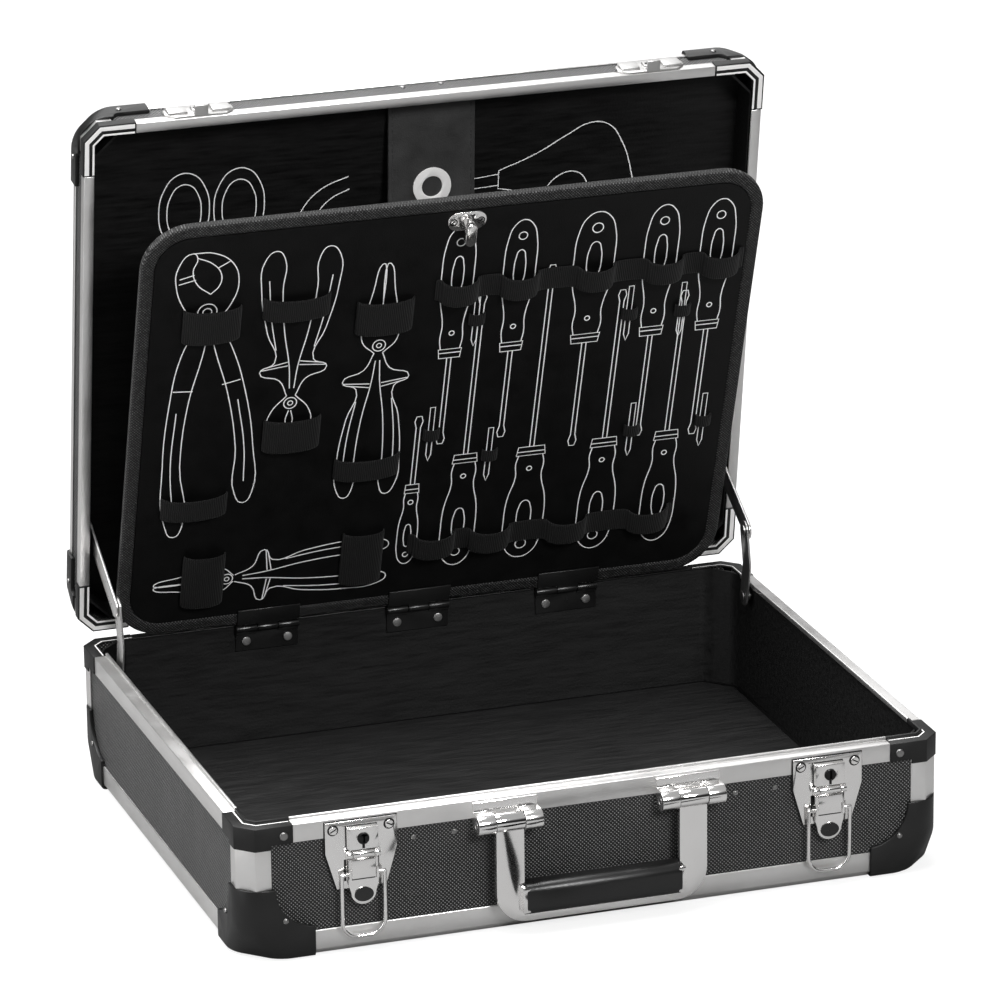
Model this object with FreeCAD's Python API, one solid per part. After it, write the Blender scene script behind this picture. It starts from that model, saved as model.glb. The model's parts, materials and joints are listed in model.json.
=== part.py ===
"""Aluminium-framed tool case, open: tray, lid, hinged tool pallet, latches, handle and lid stays.

X runs left to right, Y front to back, Z up, in millimetres. The origin is the centre of the underside.
Lid pieces are modelled closed and pallet pieces upright, then turned to the open pose.
"""
import FreeCAD, Part
import math
import os

from FreeCAD import Vector

# Driving dimensions
case_width = 460.0
case_depth = 362.0
base_height = 88.0
lid_height = 29.0
lid_open_angle = 81.0
pallet_lean_angle = 18.5
corner_chamfer = 10.0

# Walls, gaps and fits
frame_wall = 1.2
panel_wall = 5.0
liner_wall = 1.5
floor_wall = 4.0
mating_gap = 0.6
running_clearance = 0.05
moving_gap = 0.4
cut_overrun = 60.0

# Frame extrusions and corner pieces
base_rim_height = 12.0
lid_rim_height = 7.0
lid_rim_flange = 6.8
base_trim_height = 16.5
lid_trim_height = 8.0
trim_chamfer = 4.0
trim_flange = 10.0
tongue_outer = 7.4
tongue_inner = 9.2
tongue_height = 2.0
liner_chamfer = 16.0
liner_edge_drop = 2.4
floor_chamfer = 34.0
post_flange = 10.0
guard_proud = 1.5
guard_arm = 47.0
guard_column = 22.0
base_guard_height = 47.0
base_guard_arm_height = 20.0
lid_guard_height = 18.0
lid_guard_arm_height = 13.0
base_cut_height = 22.0
base_cut_run = 10.0
lid_cut_height = 12.0
lid_cut_run = 5.5
rim_corner_proud = 0.8
rim_corner_arm = 34.0
rim_corner_lobe = 3.0

# Rivets
rivet_radius = 3.0
rivet_head = 1.2
small_rivet_radius = 2.0
front_rivet_spread_share = 0.27
front_rivet_drop = 19.0
guard_rivet_inset = 28.0
base_guard_rivet_height = 26.0
lid_guard_rivet_drop = 8.0
rim_rivet_inset = 28.0
rim_rivet_share = 0.55
strap_rivet_depth = 18.0
strap_rivet_offset = 13.0

# Lid hinge
hinge_axis_offset = 4.0
hinge_end_inset = 50.0
hinge_knuckles = 15
hinge_knuckle_radius = 3.4
hinge_pin_radius = 1.4
hinge_leaf_wall = 1.0
hinge_leaf_height = 11.0
hinge_knuckle_gap = 0.3

# Latches
latch_inset = 77.0
latch_plate_width = 46.0
latch_plate_wall = 1.5
latch_plate_drop = 2.0
latch_plate_straight = 20.0
latch_plate_taper = 24.0
latch_plate_foot = 32.0
latch_screw_radius = 2.6
latch_screw_head = 1.0
latch_screw_inset = 5.0
lock_box_width = 19.0
lock_box_drop = 3.6
lock_box_height = 14.0
lock_box_depth = 5.0
lock_radius = 3.6
lock_proud = 0.8
lock_flange = 0.9
key_slot_width = 1.6
key_slot_height = 5.6
key_slot_depth = 2.4
lever_axis_drop = 23.0
lever_axis_offset = 4.6
lever_knuckle_radius = 2.7
lever_knuckle_half = 6.8
plate_knuckle_length = 3.6
lever_pin_radius = 1.2
lever_width = 19.0
lever_wall = 1.5
lever_length = 25.0
lever_tab_width = 16.0
lever_ear_wall = 1.5
lever_ear_height = 7.0
lever_ear_depth = 4.6
bail_pivot_drop = 13.0
bail_wire_radius = 1.25
bail_half_width = 13.75
bail_catch_gap = 0.55
bail_corner = 10.0
catch_width = 46.0
catch_corner = 6.0
catch_bridge_height = 7.0
catch_bridge_rise = 5.0
catch_bridge_proud = 1.4
catch_wall = 1.5
catch_height = 17.0
catch_lip_width = 9.0
catch_lip_wall = 2.0
catch_lip_reach = 8.0
catch_lip_start = 0.6

# Handle
handle_offset = 60.0
handle_axis_drop = 14.0
handle_axis_reach = 8.0
bracket_width = 42.0
bracket_rise = 12.5
bracket_wall = 1.6
bracket_ear_length = 11.5
bracket_ear_radius = 6.4
handle_eye_radius = 5.8
handle_pin_radius = 2.4
handle_arm_width = 18.0
handle_arm_depth = 6.0
handle_floor_gap = 8.0
handle_corner_radius = 20.0
handle_strip = 4.5
grip_height = 21.0
grip_depth = 17.0
grip_round = 6.5

# Pallet and its hinges
pallet_stay_gap = 5.6
pallet_front_gap = 16.7
pallet_wall = 6.5
pallet_corner_radius = 32.0
edging_width = 9.0
board_recess = 0.6
pallet_pin_drop = 2.0
pallet_pin_gap = 2.9
pallet_foot = 4.0
butt_spacing_share = 0.25
butt_width = 43.0
butt_knuckle_radius = 2.4
butt_pin_radius = 1.0
butt_leaf_wall = 1.2
butt_leaf_height = 16.0
butt_screw_radius = 3.0
butt_screw_head = 0.9

# Elastics on the pallet
elastic_wall = 1.8
elastic_height = 17.0
elastic_bulge = 9.0
band_end_share = 0.6
upper_elastic_drop = 60.0
upper_elastic_centres_shares = (0.023, 0.245, 0.526, 0.783, 0.995)
upper_loop_width = 27.0
lower_elastic_rise = 46.0
lower_elastic_centres_shares = (0.028, 0.24, 0.535, 0.85)
lower_loop_width = 30.0
wrap_height = 26.0
wrap_bulge = 7.0
wrap_places_shares = ((-0.767, 0.768), (-0.213, 0.744), (-0.481, 0.479))
wrap_width = 40.0
small_loop_places_shares = ((-0.5, 0.791), (-0.225, 0.375), (-0.778, 0.324))
small_loop_width = 46.0
upright_places_shares = ((-0.729, 0.133), (-0.211, 0.143))
upright_width = 30.0
upright_height = 42.0
bit_loop_places_shares = ((0.089, 0.71), (0.594, 0.682), (0.77, 0.677), (-0.02, 0.434), (0.181, 0.366),
                          (0.651, 0.387), (0.891, 0.391))
bit_loop_width = 12.0
bit_loop_height = 9.0
bit_loop_bulge = 4.6

# Turn lock on the pallet and strap in the lid
lock_drop = 7.5
lock_offset = 5.0
lock_plate_half_width = 13.0
lock_plate_half_height = 7.0
lock_plate_wall = 1.6
lock_stem_radius = 3.0
lock_stem_length = 5.0
lock_knob_width = 7.0
lock_knob_reach = 13.0
lock_knob_wall = 5.0
strap_width = 60.0
strap_offset = 8.0
strap_wall = 2.4
strap_length = 86.0
strap_tab = 14.0
strap_start = 1.2
strap_fall = 9.0
eyelet_from_end = 22.0
eyelet_radius = 13.0
eyelet_barrel_radius = 8.4
eyelet_hole_radius = 7.0
eyelet_flange_wall = 1.0

# Lid stays
stay_wall = 1.4
stay_width = 13.0
stay_layer_gap = 0.6
stay_wall_gap = 1.9
stay_rivet_radius = 2.0
stay_rivet_head_radius = 3.6
stay_rivet_head = 1.0
stay_base_reach = 55.0
stay_base_drop = 8.0
stay_lid_reach = 72.0
stay_lid_rise = 15.0
stay_lower_length = 47.0
stay_upper_length = 68.0
stay_kink = 5.0

# Derived places
half_width = case_width / 2
half_depth = case_depth / 2
lid_bottom = base_height + mating_gap
lid_top = lid_bottom + lid_height
liner_outer = frame_wall + panel_wall
liner_face = liner_outer + liner_wall
panel_foot = trim_chamfer + frame_wall
offset_share = math.sqrt(2) - 1
hinge_y = half_depth + hinge_axis_offset
hinge_z = base_height + mating_gap / 2
pallet_pin_y = half_depth - liner_face - pallet_pin_gap
pallet_pin_height = base_height - pallet_pin_drop
front_y = -half_depth
stay_outer_x = -half_width + liner_face + stay_wall_gap
stay_inner_x = stay_outer_x + stay_wall + stay_layer_gap
stay_reach_x = stay_inner_x + stay_wall + moving_gap + stay_rivet_head
hinge_length = case_width - 2 * hinge_end_inset
latch_offset = half_width - latch_inset
latch_plate_top = base_height - latch_plate_drop
latch_plate_shoulder = latch_plate_top - latch_plate_straight
latch_plate_bottom = latch_plate_shoulder - latch_plate_taper
lock_box_high = latch_plate_top - lock_box_drop
lock_box_low = lock_box_high - lock_box_height
lever_axis_height = base_height - lever_axis_drop
bail_pivot_height = lever_axis_height - bail_pivot_drop
catch_lip_top = lid_bottom + catch_lip_start + catch_lip_wall
bail_length = catch_lip_top + bail_catch_gap + bail_wire_radius - bail_pivot_height
handle_axis_height = base_height - handle_axis_drop
handle_length = handle_axis_height - handle_floor_gap
rivet_gap_start = handle_offset + bracket_width / 2
rivet_gap_end = latch_offset - latch_plate_width / 2
pallet_width = -2 * (stay_reach_x + pallet_stay_gap)
pallet_height = pallet_pin_y - pallet_foot + half_depth - liner_face - pallet_front_gap
butt_spacing = pallet_width * butt_spacing_share
upper_elastic_rise = pallet_foot + pallet_height - upper_elastic_drop - elastic_height
X_AXIS = Vector(1, 0, 0)
Y_AXIS = Vector(0, 1, 0)
Z_AXIS = Vector(0, 0, 1)


# Building blocks
def box(x0, x1, y0, y1, z0, z1):
    return Part.makeBox(x1 - x0, y1 - y0, z1 - z0, Vector(x0, y0, z0))


def prism(points, direction):
    return Part.Face(Part.makePolygon(points + points[:1])).extrude(direction)


def prism_x(outline, x0, x1):
    return prism([Vector(x0, y, z) for y, z in outline], Vector(x1 - x0, 0, 0))


def prism_y(outline, y0, y1):
    return prism([Vector(x, y0, z) for x, z in outline], Vector(0, y1 - y0, 0))


def prism_z(outline, z0, z1):
    return prism([Vector(x, y, z0) for x, y in outline], Vector(0, 0, z1 - z0))


def rod_x(radius, x0, x1, y, z):
    return Part.makeCylinder(radius, x1 - x0, Vector(x0, y, z), X_AXIS)


def rod_y(radius, x, y0, y1, z):
    return Part.makeCylinder(radius, y1 - y0, Vector(x, y0, z), Y_AXIS)


def fused(shapes):
    shapes = list(shapes)
    joined = shapes[0].fuse(shapes[1:]) if len(shapes) > 1 else shapes[0]
    return joined.removeSplitter()


def mirrored_x(shape):
    return shape.mirror(Vector(), X_AXIS)


def mirrored_y(shape):
    return shape.mirror(Vector(), Y_AXIS)


def both_sides(shape):
    return [shape, mirrored_x(shape)]


def four_corners(shape):
    return [copy for side in both_sides(shape) for copy in (side, mirrored_y(side))]


def octagon(inset, chamfer):
    w = half_width - inset
    d = half_depth - inset
    return [(-w + chamfer, -d), (w - chamfer, -d), (w, -d + chamfer), (w, d - chamfer),
            (w - chamfer, d), (-w + chamfer, d), (-w, d - chamfer), (-w, -d + chamfer)]


def frame_block(inset, z0, z1):
    """The case's chamfered plan, drawn in by an inset, as a solid block."""
    return prism_z(octagon(inset, corner_chamfer - inset * (1 - offset_share)), z0, z1)


def turned(shape, centre, axis, angle):
    copy = shape.copy()
    copy.rotate(centre, axis, angle)
    return copy


def opened(shape):
    """Turn a closed-lid piece to the open pose."""
    return turned(shape, Vector(0, hinge_y, hinge_z), X_AXIS, -lid_open_angle)


def leaned(shape):
    """Turn an upright pallet piece to its leaning pose."""
    return turned(shape, Vector(0, pallet_pin_y, pallet_pin_height), X_AXIS, pallet_lean_angle)


def flipped(shape):
    """Turn a base piece built up from zero into a lid piece built down from the lid's top."""
    copy = shape.mirror(Vector(), Z_AXIS)
    copy.translate(Vector(0, 0, lid_top))
    return copy


def along_front(profile, reach):
    return prism_x([(front_y + inset, z) for inset, z in profile], -reach, reach)


def along_left(profile, reach):
    return prism_y([(-half_width + inset, z) for inset, z in profile], -reach, reach)


# Shells of the base and the lid
def corner_wedge(offset, cut_height, cut_run):
    """The slanted cut that rounds off a front-left bottom corner, moved outwards by an offset."""
    top = (half_width + half_depth - corner_chamfer) / math.sqrt(2) + offset
    far = top + cut_overrun
    fall = cut_run / cut_height
    low = -cut_overrun
    outline = [(top, cut_height), (top - cut_run - cut_overrun * fall, low), (far, low), (far, cut_height)]
    side = Vector(1, -1, 0).normalize() * cut_overrun
    outwards = Vector(-1, -1, 0).normalize()
    points = [outwards * d + Z_AXIS * z - side for d, z in outline]
    return prism(points, side * 2)


def wall_panels(z0, z1, cut_height, cut_run):
    """Front, back, left and right panels between two heights, relieved behind the bottom corner guards."""
    relief = four_corners(corner_wedge(-frame_wall, cut_height, cut_run))
    front = along_front([(frame_wall, z0), (liner_outer, z0), (liner_outer, z1), (frame_wall, z1)],
                        half_width - corner_chamfer)
    left = along_left([(frame_wall, z0), (liner_outer, z0), (liner_outer, z1), (frame_wall, z1)],
                      half_depth - corner_chamfer)
    left = left.common(box(-half_width, 0, -half_depth + liner_outer, half_depth - liner_outer, z0, z1))
    within = frame_block(frame_wall, z0, z1).cut(relief)
    front = front.common(within)
    left = left.common(within)
    return {"front": front, "back": mirrored_y(front), "left": left, "right": mirrored_x(left)}


def floor_panel():
    return prism_z(octagon(trim_flange, floor_chamfer), 0, floor_wall)


def liner_block(inset, z0, z1):
    chamfer = liner_chamfer - (inset - liner_outer) * (1 - offset_share)
    return prism_z(octagon(inset, chamfer), z0, z1)


def tray_liner(depth):
    """A liner tray standing on the floor panel, up to a height."""
    outer = liner_block(liner_outer, floor_wall, depth)
    return outer.cut(liner_block(liner_face, floor_wall + liner_wall, depth + cut_overrun))


def edge_trims(height):
    inner = trim_chamfer + frame_wall * offset_share
    profile = [(0, height), (0, trim_chamfer), (trim_chamfer, 0), (trim_flange, 0),
               (trim_flange, frame_wall),
               (inner, frame_wall), (frame_wall, inner), (frame_wall, height)]
    front = along_front(profile, half_width - guard_arm)
    left = along_left(profile, half_depth - guard_arm)
    return [front, mirrored_y(front), left, mirrored_x(left)]


def corner_posts(z0, z1):
    reach = corner_chamfer + post_flange
    ring = frame_block(0, z0, z1).cut(frame_block(frame_wall, z0 - cut_overrun, z1 + cut_overrun))
    corner = ring.common(box(-half_width, -half_width + reach, front_y, front_y + reach, z0, z1))
    return four_corners(corner)


def corner_guards(height, arm_height, cut_height, cut_run):
    """Moulded guards round the bottom corners, each with two arms and a swept upper outline."""
    outer = frame_block(-guard_proud, 0, height).cut(corner_wedge(guard_proud, cut_height, cut_run))
    inner = frame_block(frame_wall, frame_wall, height + cut_overrun)
    inner = inner.cut(corner_wedge(-frame_wall, cut_height, cut_run))
    sweep = height - arm_height
    turn = guard_column + sweep
    region = box(-half_width - guard_proud, -half_width + guard_arm, front_y - guard_proud,
                 front_y + guard_arm,
                 0, height)
    guard = outer.cut(inner).common(region).cut(floor_panel())
    beyond = guard_arm + cut_overrun
    front_y0 = front_y - cut_overrun
    left_x0 = -half_width - cut_overrun
    guard = guard.cut([
        Part.makeCylinder(sweep, cut_overrun + corner_chamfer,
                          Vector(-half_width + turn, front_y0, height), Y_AXIS),
        box(-half_width + turn, -half_width + beyond, front_y0, front_y + corner_chamfer, arm_height,
            height),
        Part.makeCylinder(sweep, cut_overrun + corner_chamfer, Vector(left_x0, front_y + turn, height),
                          X_AXIS),
        box(left_x0, -half_width + corner_chamfer, front_y + turn, front_y + beyond, arm_height, height)])
    return four_corners(guard)


def base_rim_pieces():
    top = base_height
    profile = [(0, top - base_rim_height), (0, top), (tongue_outer, top),
               (tongue_outer, top + tongue_height),
               (tongue_inner, top + tongue_height), (tongue_inner, top - frame_wall),
               (frame_wall, top - frame_wall),
               (frame_wall, top - base_rim_height)]
    left = along_left(profile, half_depth - rim_corner_arm)
    return [along_front(profile, half_width - rim_corner_arm), left, mirrored_x(left)]


def base_hinge_rail():
    top = base_height
    profile = [(0, top - base_rim_height), (0, top), (liner_face, top), (liner_face, top - frame_wall),
               (frame_wall, top - frame_wall), (frame_wall, top - base_rim_height)]
    return mirrored_y(along_front(profile, half_width - rim_corner_arm))


def lid_rim_profile():
    low = lid_bottom
    return [(0, low + lid_rim_height), (0, low), (lid_rim_flange, low), (lid_rim_flange, low + frame_wall),
            (frame_wall, low + frame_wall), (frame_wall, low + lid_rim_height)]


def lid_rim_pieces():
    left = along_left(lid_rim_profile(), half_depth - rim_corner_arm)
    return [along_front(lid_rim_profile(), half_width - rim_corner_arm), left, mirrored_x(left)]


def lid_hinge_rail():
    return mirrored_y(along_front(lid_rim_profile(), half_width - rim_corner_arm))


def corner_region(z0, z1):
    reach = rim_corner_arm
    proud = rim_corner_proud
    return box(-half_width - proud, -half_width + reach, front_y - proud, front_y + reach, z0, z1)


def ring(outer_inset, inner_inset, z0, z1):
    return frame_block(outer_inset, z0, z1).cut(frame_block(inner_inset, z0, z1))


def base_rim_corners():
    top = base_height
    low = top - base_rim_height
    lobe_reach = corner_chamfer + post_flange
    skirt = ring(-rim_corner_proud, 0, low - rim_corner_lobe, top)
    skirt = skirt.cut([box(-half_width + lobe_reach, half_width, -half_depth - cut_overrun, 0,
                           low - cut_overrun, low),
                       box(-half_width - cut_overrun, 0, front_y + lobe_reach, half_depth,
                           low - cut_overrun, low)])
    pieces = [skirt, ring(-rim_corner_proud, frame_wall, low, top),
              ring(0, tongue_inner, top - frame_wall, top),
              ring(tongue_outer, tongue_inner, top, top + tongue_height)]
    front_corner = fused(p.common(corner_region(low - cut_overrun, top + tongue_height)) for p in pieces)
    rear_corner = fused(p.common(corner_region(low - cut_overrun, top)) for p in pieces[:2]
                        + [ring(0, liner_face, top - frame_wall, top)])
    return both_sides(front_corner) + both_sides(mirrored_y(rear_corner))


def lid_rim_corners():
    low = lid_bottom
    pieces = [ring(-rim_corner_proud, frame_wall, low, low + lid_rim_height),
              ring(0, lid_rim_flange, low, low + frame_wall)]
    return four_corners(fused(p.common(corner_region(low, low + lid_rim_height)) for p in pieces))


# Rivets: a head standing out of a face, drawn along Y and turned for the sides
def rivet_front(x, z, face, radius):
    return Part.makeCone(radius, radius - rivet_head / 2, rivet_head, Vector(x, face, z), Y_AXIS * -1)


def rivet_left(y, z, face, radius):
    return Part.makeCone(radius, radius - rivet_head / 2, rivet_head, Vector(face, y, z), X_AXIS * -1)


def guard_rivets(z):
    face = front_y - guard_proud
    front = rivet_front(-half_width + guard_rivet_inset, z, face, small_rivet_radius)
    left = rivet_left(front_y + guard_rivet_inset, z, -half_width - guard_proud, small_rivet_radius)
    return four_corners(front) + four_corners(left)


def base_rivets():
    panel_face = front_y + frame_wall
    middle = (rivet_gap_start + rivet_gap_end) / 2
    spread = (rivet_gap_end - rivet_gap_start) * front_rivet_spread_share
    front_z = base_height - front_rivet_drop
    front = [copy for x in (middle - spread, middle + spread)
             for copy in both_sides(rivet_front(x, front_z, panel_face, small_rivet_radius))]
    rim_z = base_height - base_rim_height * rim_rivet_share
    rim = four_corners(rivet_front(-half_width + rim_rivet_inset, rim_z, front_y - rim_corner_proud,
                                   rivet_radius))
    return front + rim + guard_rivets(base_guard_rivet_height) + both_sides(stay_base_rivet())


def lid_rivets():
    strap = both_sides(rivet_front(strap_rivet_offset, lid_bottom + strap_rivet_depth, front_y + frame_wall,
                                   small_rivet_radius))
    pieces = strap + guard_rivets(lid_top - lid_guard_rivet_drop) + both_sides(stay_lid_rivet())
    return [opened(p) for p in pieces]


# Lid hinge: leaves on the rear faces, alternate knuckles and one pin
def hinge_leaf(first, sign):
    """A leaf with every second knuckle, from the first one; sign is -1 below the axis and 1 above it."""
    step = hinge_length / hinge_knuckles
    start = -hinge_length / 2
    near = hinge_knuckle_radius + moving_gap
    z0, z1 = sorted((hinge_z + sign * near, hinge_z + sign * (near + hinge_leaf_height)))
    pieces = [box(start, -start, half_depth, half_depth + hinge_leaf_wall, z0, z1)]
    for index in range(first, hinge_knuckles, 2):
        x0 = start + index * step + hinge_knuckle_gap
        x1 = start + (index + 1) * step - hinge_knuckle_gap
        tab_z0, tab_z1 = sorted((hinge_z, hinge_z + sign * (near + hinge_leaf_wall)))
        pieces.append(box(x0, x1, half_depth, half_depth + hinge_leaf_wall, tab_z0, tab_z1))
        pieces.append(rod_x(hinge_knuckle_radius, x0, x1, hinge_y, hinge_z))
    bore = rod_x(hinge_pin_radius + running_clearance, start - cut_overrun, cut_overrun - start, hinge_y,
                 hinge_z)
    return fused(pieces).cut(bore)


def lid_hinge_pin():
    return rod_x(hinge_pin_radius, -hinge_length / 2, hinge_length / 2, hinge_y, hinge_z)


# Latches, built for the left side; the right one is a mirror copy
def latch_plate():
    x = -latch_offset
    half = latch_plate_width / 2
    foot = latch_plate_foot / 2
    outline = [(x - half, latch_plate_top), (x + half, latch_plate_top), (x + half, latch_plate_shoulder),
               (x + foot, latch_plate_bottom), (x - foot, latch_plate_bottom),
               (x - half, latch_plate_shoulder)]
    face = front_y - latch_plate_wall
    box_face = face - lock_box_depth
    axis_y = front_y - lever_axis_offset
    pieces = [prism_y(outline, face, front_y),
              box(x - lock_box_width / 2, x + lock_box_width / 2, box_face, face, lock_box_low,
                  lock_box_high)]
    for side in (-1, 1):
        screw_x = x + side * (half - latch_screw_inset)
        screw_z = latch_plate_top - latch_screw_inset
        pieces.append(rod_y(latch_screw_radius, screw_x, face - latch_screw_head, face, screw_z))
        x0, x1 = sorted((x + side * (lever_knuckle_half + moving_gap),
                         x + side * (lever_knuckle_half + moving_gap + plate_knuckle_length)))
        pieces.append(rod_x(lever_knuckle_radius, x0, x1, axis_y, lever_axis_height))
        pieces.append(box(x0, x1, axis_y, front_y, lever_axis_height - lever_pin_radius,
                          lever_axis_height + lever_pin_radius))
    reach = lever_knuckle_half + moving_gap + plate_knuckle_length
    pieces.append(rod_x(lever_pin_radius, x - reach, x + reach, axis_y, lever_axis_height))
    lock_z = (lock_box_low + lock_box_high) / 2
    bore = rod_y(lock_radius + running_clearance, x, box_face - cut_overrun, face - lock_flange, lock_z)
    return fused(pieces).cut(bore)


def lock_cylinder():
    x = -latch_offset
    lock_z = (lock_box_low + lock_box_high) / 2
    outer_face = front_y - latch_plate_wall - lock_box_depth - lock_proud
    inner_face = front_y - latch_plate_wall - lock_flange
    barrel = rod_y(lock_radius, x, outer_face, inner_face, lock_z)
    slot = box(x - key_slot_width / 2, x + key_slot_width / 2, outer_face - cut_overrun,
               outer_face + key_slot_depth,
               lock_z - key_slot_height / 2, lock_z + key_slot_height / 2)
    return barrel.cut(slot)


def latch_lever():
    """The lever hangs from its knuckle; two ears on its edges carry the bail."""
    x = -latch_offset
    half = lever_width / 2
    tab = lever_tab_width / 2
    axis_y = front_y - lever_axis_offset
    back = axis_y + lever_wall / 2
    shoulder = lever_axis_height - lever_knuckle_radius - moving_gap
    low = lever_axis_height - lever_length
    ear_z = bail_pivot_height
    outline = [(x - half, shoulder), (x + half, shoulder), (x + half, ear_z - lever_ear_height),
               (x + tab, low), (x - tab, low), (x - half, ear_z - lever_ear_height)]
    pieces = [prism_y(outline, back - lever_wall, back),
              rod_x(lever_knuckle_radius, x - lever_knuckle_half, x + lever_knuckle_half, axis_y,
                    lever_axis_height),
              box(x - lever_knuckle_half, x + lever_knuckle_half, back - lever_wall, back, shoulder,
                  lever_axis_height),
              rod_y(tab, x, back - lever_wall, back, low)]
    for side in (-1, 1):
        x0, x1 = sorted((x + side * half, x + side * (half - lever_ear_wall)))
        pieces.append(box(x0, x1, axis_y - lever_ear_depth / 2, axis_y + lever_ear_depth / 2,
                          ear_z - lever_ear_height / 2, ear_z + lever_ear_height / 2))
    reach = half + cut_overrun
    pin_bore = rod_x(lever_pin_radius + running_clearance, x - reach, x + reach, axis_y, lever_axis_height)
    bail_bore = rod_x(bail_wire_radius + running_clearance, x - reach, x + reach, axis_y, ear_z)
    pocket = half - lever_ear_wall
    keep = box(x - pocket, x + pocket, front_y - cut_overrun, front_y, 0, base_height)
    return fused(pieces).cut(pin_bore).cut(bail_bore.cut(keep))


def latch_bail():
    """A wire loop whose ends turn in through the lever's ears."""
    x = -latch_offset
    y = front_y - lever_axis_offset
    top = bail_pivot_height
    low = top - bail_length
    inner_end = lever_width / 2 - lever_ear_wall
    r = bail_corner
    corner = r * math.sqrt(0.5)

    def at(dx, z):
        return Vector(x + dx, y, z)

    edges = []
    for side in (-1, 1):
        centre_x = side * (bail_half_width - r)
        arc = Part.Arc(at(side * bail_half_width, low + r), at(centre_x + side * corner, low + r - corner),
                       at(centre_x, low)).toShape()
        arm = Part.makeLine(at(side * bail_half_width, top), at(side * bail_half_width, low + r))
        edges.append((arm, arc))
    bottom = Part.makeLine(at(-bail_half_width + r, low), at(bail_half_width - r, low))
    path = Part.Wire([edges[0][0], edges[0][1], bottom, edges[1][1].reversed(), edges[1][0].reversed()])
    profile = Part.Wire(Part.makeCircle(bail_wire_radius, at(-bail_half_width, top), Z_AXIS * -1))
    loop = path.makePipeShell([profile], True, False)
    ends = []
    for side in (-1, 1):
        x0, x1 = sorted((x + side * inner_end, x + side * bail_half_width))
        ends.append(rod_x(bail_wire_radius, x0, x1, y, top))
        ends.append(Part.makeSphere(bail_wire_radius, at(side * bail_half_width, top)))
    return fused([loop] + ends)


def lid_catch():
    x = -latch_offset
    half = catch_width / 2
    z0 = lid_bottom + catch_lip_start
    face = front_y - catch_wall
    top = z0 + catch_height
    outline = [(x - half + catch_corner, z0), (x + half - catch_corner, z0), (x + half, z0 + catch_corner),
               (x + half, top - catch_corner), (x + half - catch_corner, top),
               (x - half + catch_corner, top),
               (x - half, top - catch_corner), (x - half, z0 + catch_corner)]
    plate = prism_y(outline, face, front_y)
    lip_half = catch_lip_width / 2
    bridge_z = z0 + catch_bridge_rise
    bridge = box(x - lip_half, x + lip_half, face - catch_bridge_proud, face, bridge_z,
                 bridge_z + catch_bridge_height)
    lip = box(x - lip_half, x + lip_half, front_y - catch_lip_reach, face, z0, z0 + catch_lip_wall)
    heads = [rod_y(latch_screw_radius, x + side * (half - catch_corner), face - latch_screw_head, face,
                   z0 + catch_height / 2) for side in (-1, 1)]
    return fused([plate, lip, bridge] + heads)


# Handle
def handle_bracket():
    x = -handle_offset
    half = bracket_width / 2
    axis_y = front_y - handle_axis_reach
    pieces = [box(x - half, x + half, front_y - bracket_wall, front_y + frame_wall,
                  handle_axis_height - bracket_ear_radius, handle_axis_height + bracket_rise)]
    for side in (-1, 1):
        x0, x1 = sorted((x + side * (half - bracket_ear_length), x + side * half))
        pieces.append(rod_x(bracket_ear_radius, x0, x1, axis_y, handle_axis_height))
        pieces.append(box(x0, x1, axis_y, front_y, handle_axis_height - bracket_ear_radius,
                          handle_axis_height + bracket_ear_radius))
    reach = half + cut_overrun
    bore = rod_x(handle_pin_radius, x - reach, x + reach, axis_y, handle_axis_height)
    rim_room = box(x - reach, x + reach, front_y, front_y + frame_wall, base_height - base_rim_height,
                   base_height)
    return fused(pieces).cut(bore).cut(rim_room)


def handle_pin():
    x = -handle_offset
    half = bracket_width / 2
    return rod_x(handle_pin_radius, x - half, x + half, front_y - handle_axis_reach, handle_axis_height)


def handle_frame():
    """A U of flat bar: two arms with eyes on the pins and a thin strip under the grip."""
    axis_y = front_y - handle_axis_reach
    y0 = axis_y - handle_arm_depth / 2
    y1 = axis_y + handle_arm_depth / 2
    outer = handle_offset + handle_arm_width / 2
    inner = handle_offset - handle_arm_width / 2
    low = handle_axis_height - handle_length
    r = handle_corner_radius
    block = box(-outer, outer, y0, y1, low, handle_axis_height)
    verticals = [e for e in block.Edges if e.BoundBox.ZMax < low + r and e.BoundBox.XLength < r]
    block = block.makeFillet(r, [e for e in verticals if e.BoundBox.YLength > 0])
    window = box(-inner, inner, y0 - cut_overrun, y1 + cut_overrun, low + handle_strip, base_height)
    frame = block.cut(window)
    eye_half = bracket_width / 2 - bracket_ear_length - moving_gap
    for x in (-handle_offset, handle_offset):
        frame = frame.cut([box(x - handle_arm_width, x - eye_half, y0, y1,
                               handle_axis_height - bracket_ear_radius
                               - moving_gap, base_height),
                           box(x + eye_half, x + handle_arm_width, y0, y1,
                               handle_axis_height - bracket_ear_radius
                               - moving_gap, base_height)])
        frame = frame.fuse(rod_x(handle_eye_radius, x - eye_half, x + eye_half, axis_y, handle_axis_height))
    reach = outer + cut_overrun
    bore = rod_x(handle_pin_radius + running_clearance, -reach, reach, axis_y, handle_axis_height)
    return frame.removeSplitter().cut(bore)


def handle_grip():
    inner = handle_offset - handle_arm_width / 2
    axis_y = front_y - handle_axis_reach
    low = handle_axis_height - handle_length + handle_strip
    grip = box(-inner, inner, axis_y - grip_depth / 2, axis_y + grip_depth / 2, low, low + grip_height)
    grip_back = front_y - moving_gap
    grip = grip.makeFillet(grip_round, [e for e in grip.Edges if e.BoundBox.XLength > inner])
    reach = inner + cut_overrun
    return grip.cut(box(-reach, reach, grip_back, grip_back + cut_overrun, 0, base_height))


# Pallet, upright: its front face is the pin's plane, and heights start at the pin
def on_pallet(shape):
    copy = shape.copy()
    copy.translate(Vector(0, pallet_pin_y, pallet_pin_height))
    return leaned(copy)


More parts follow.
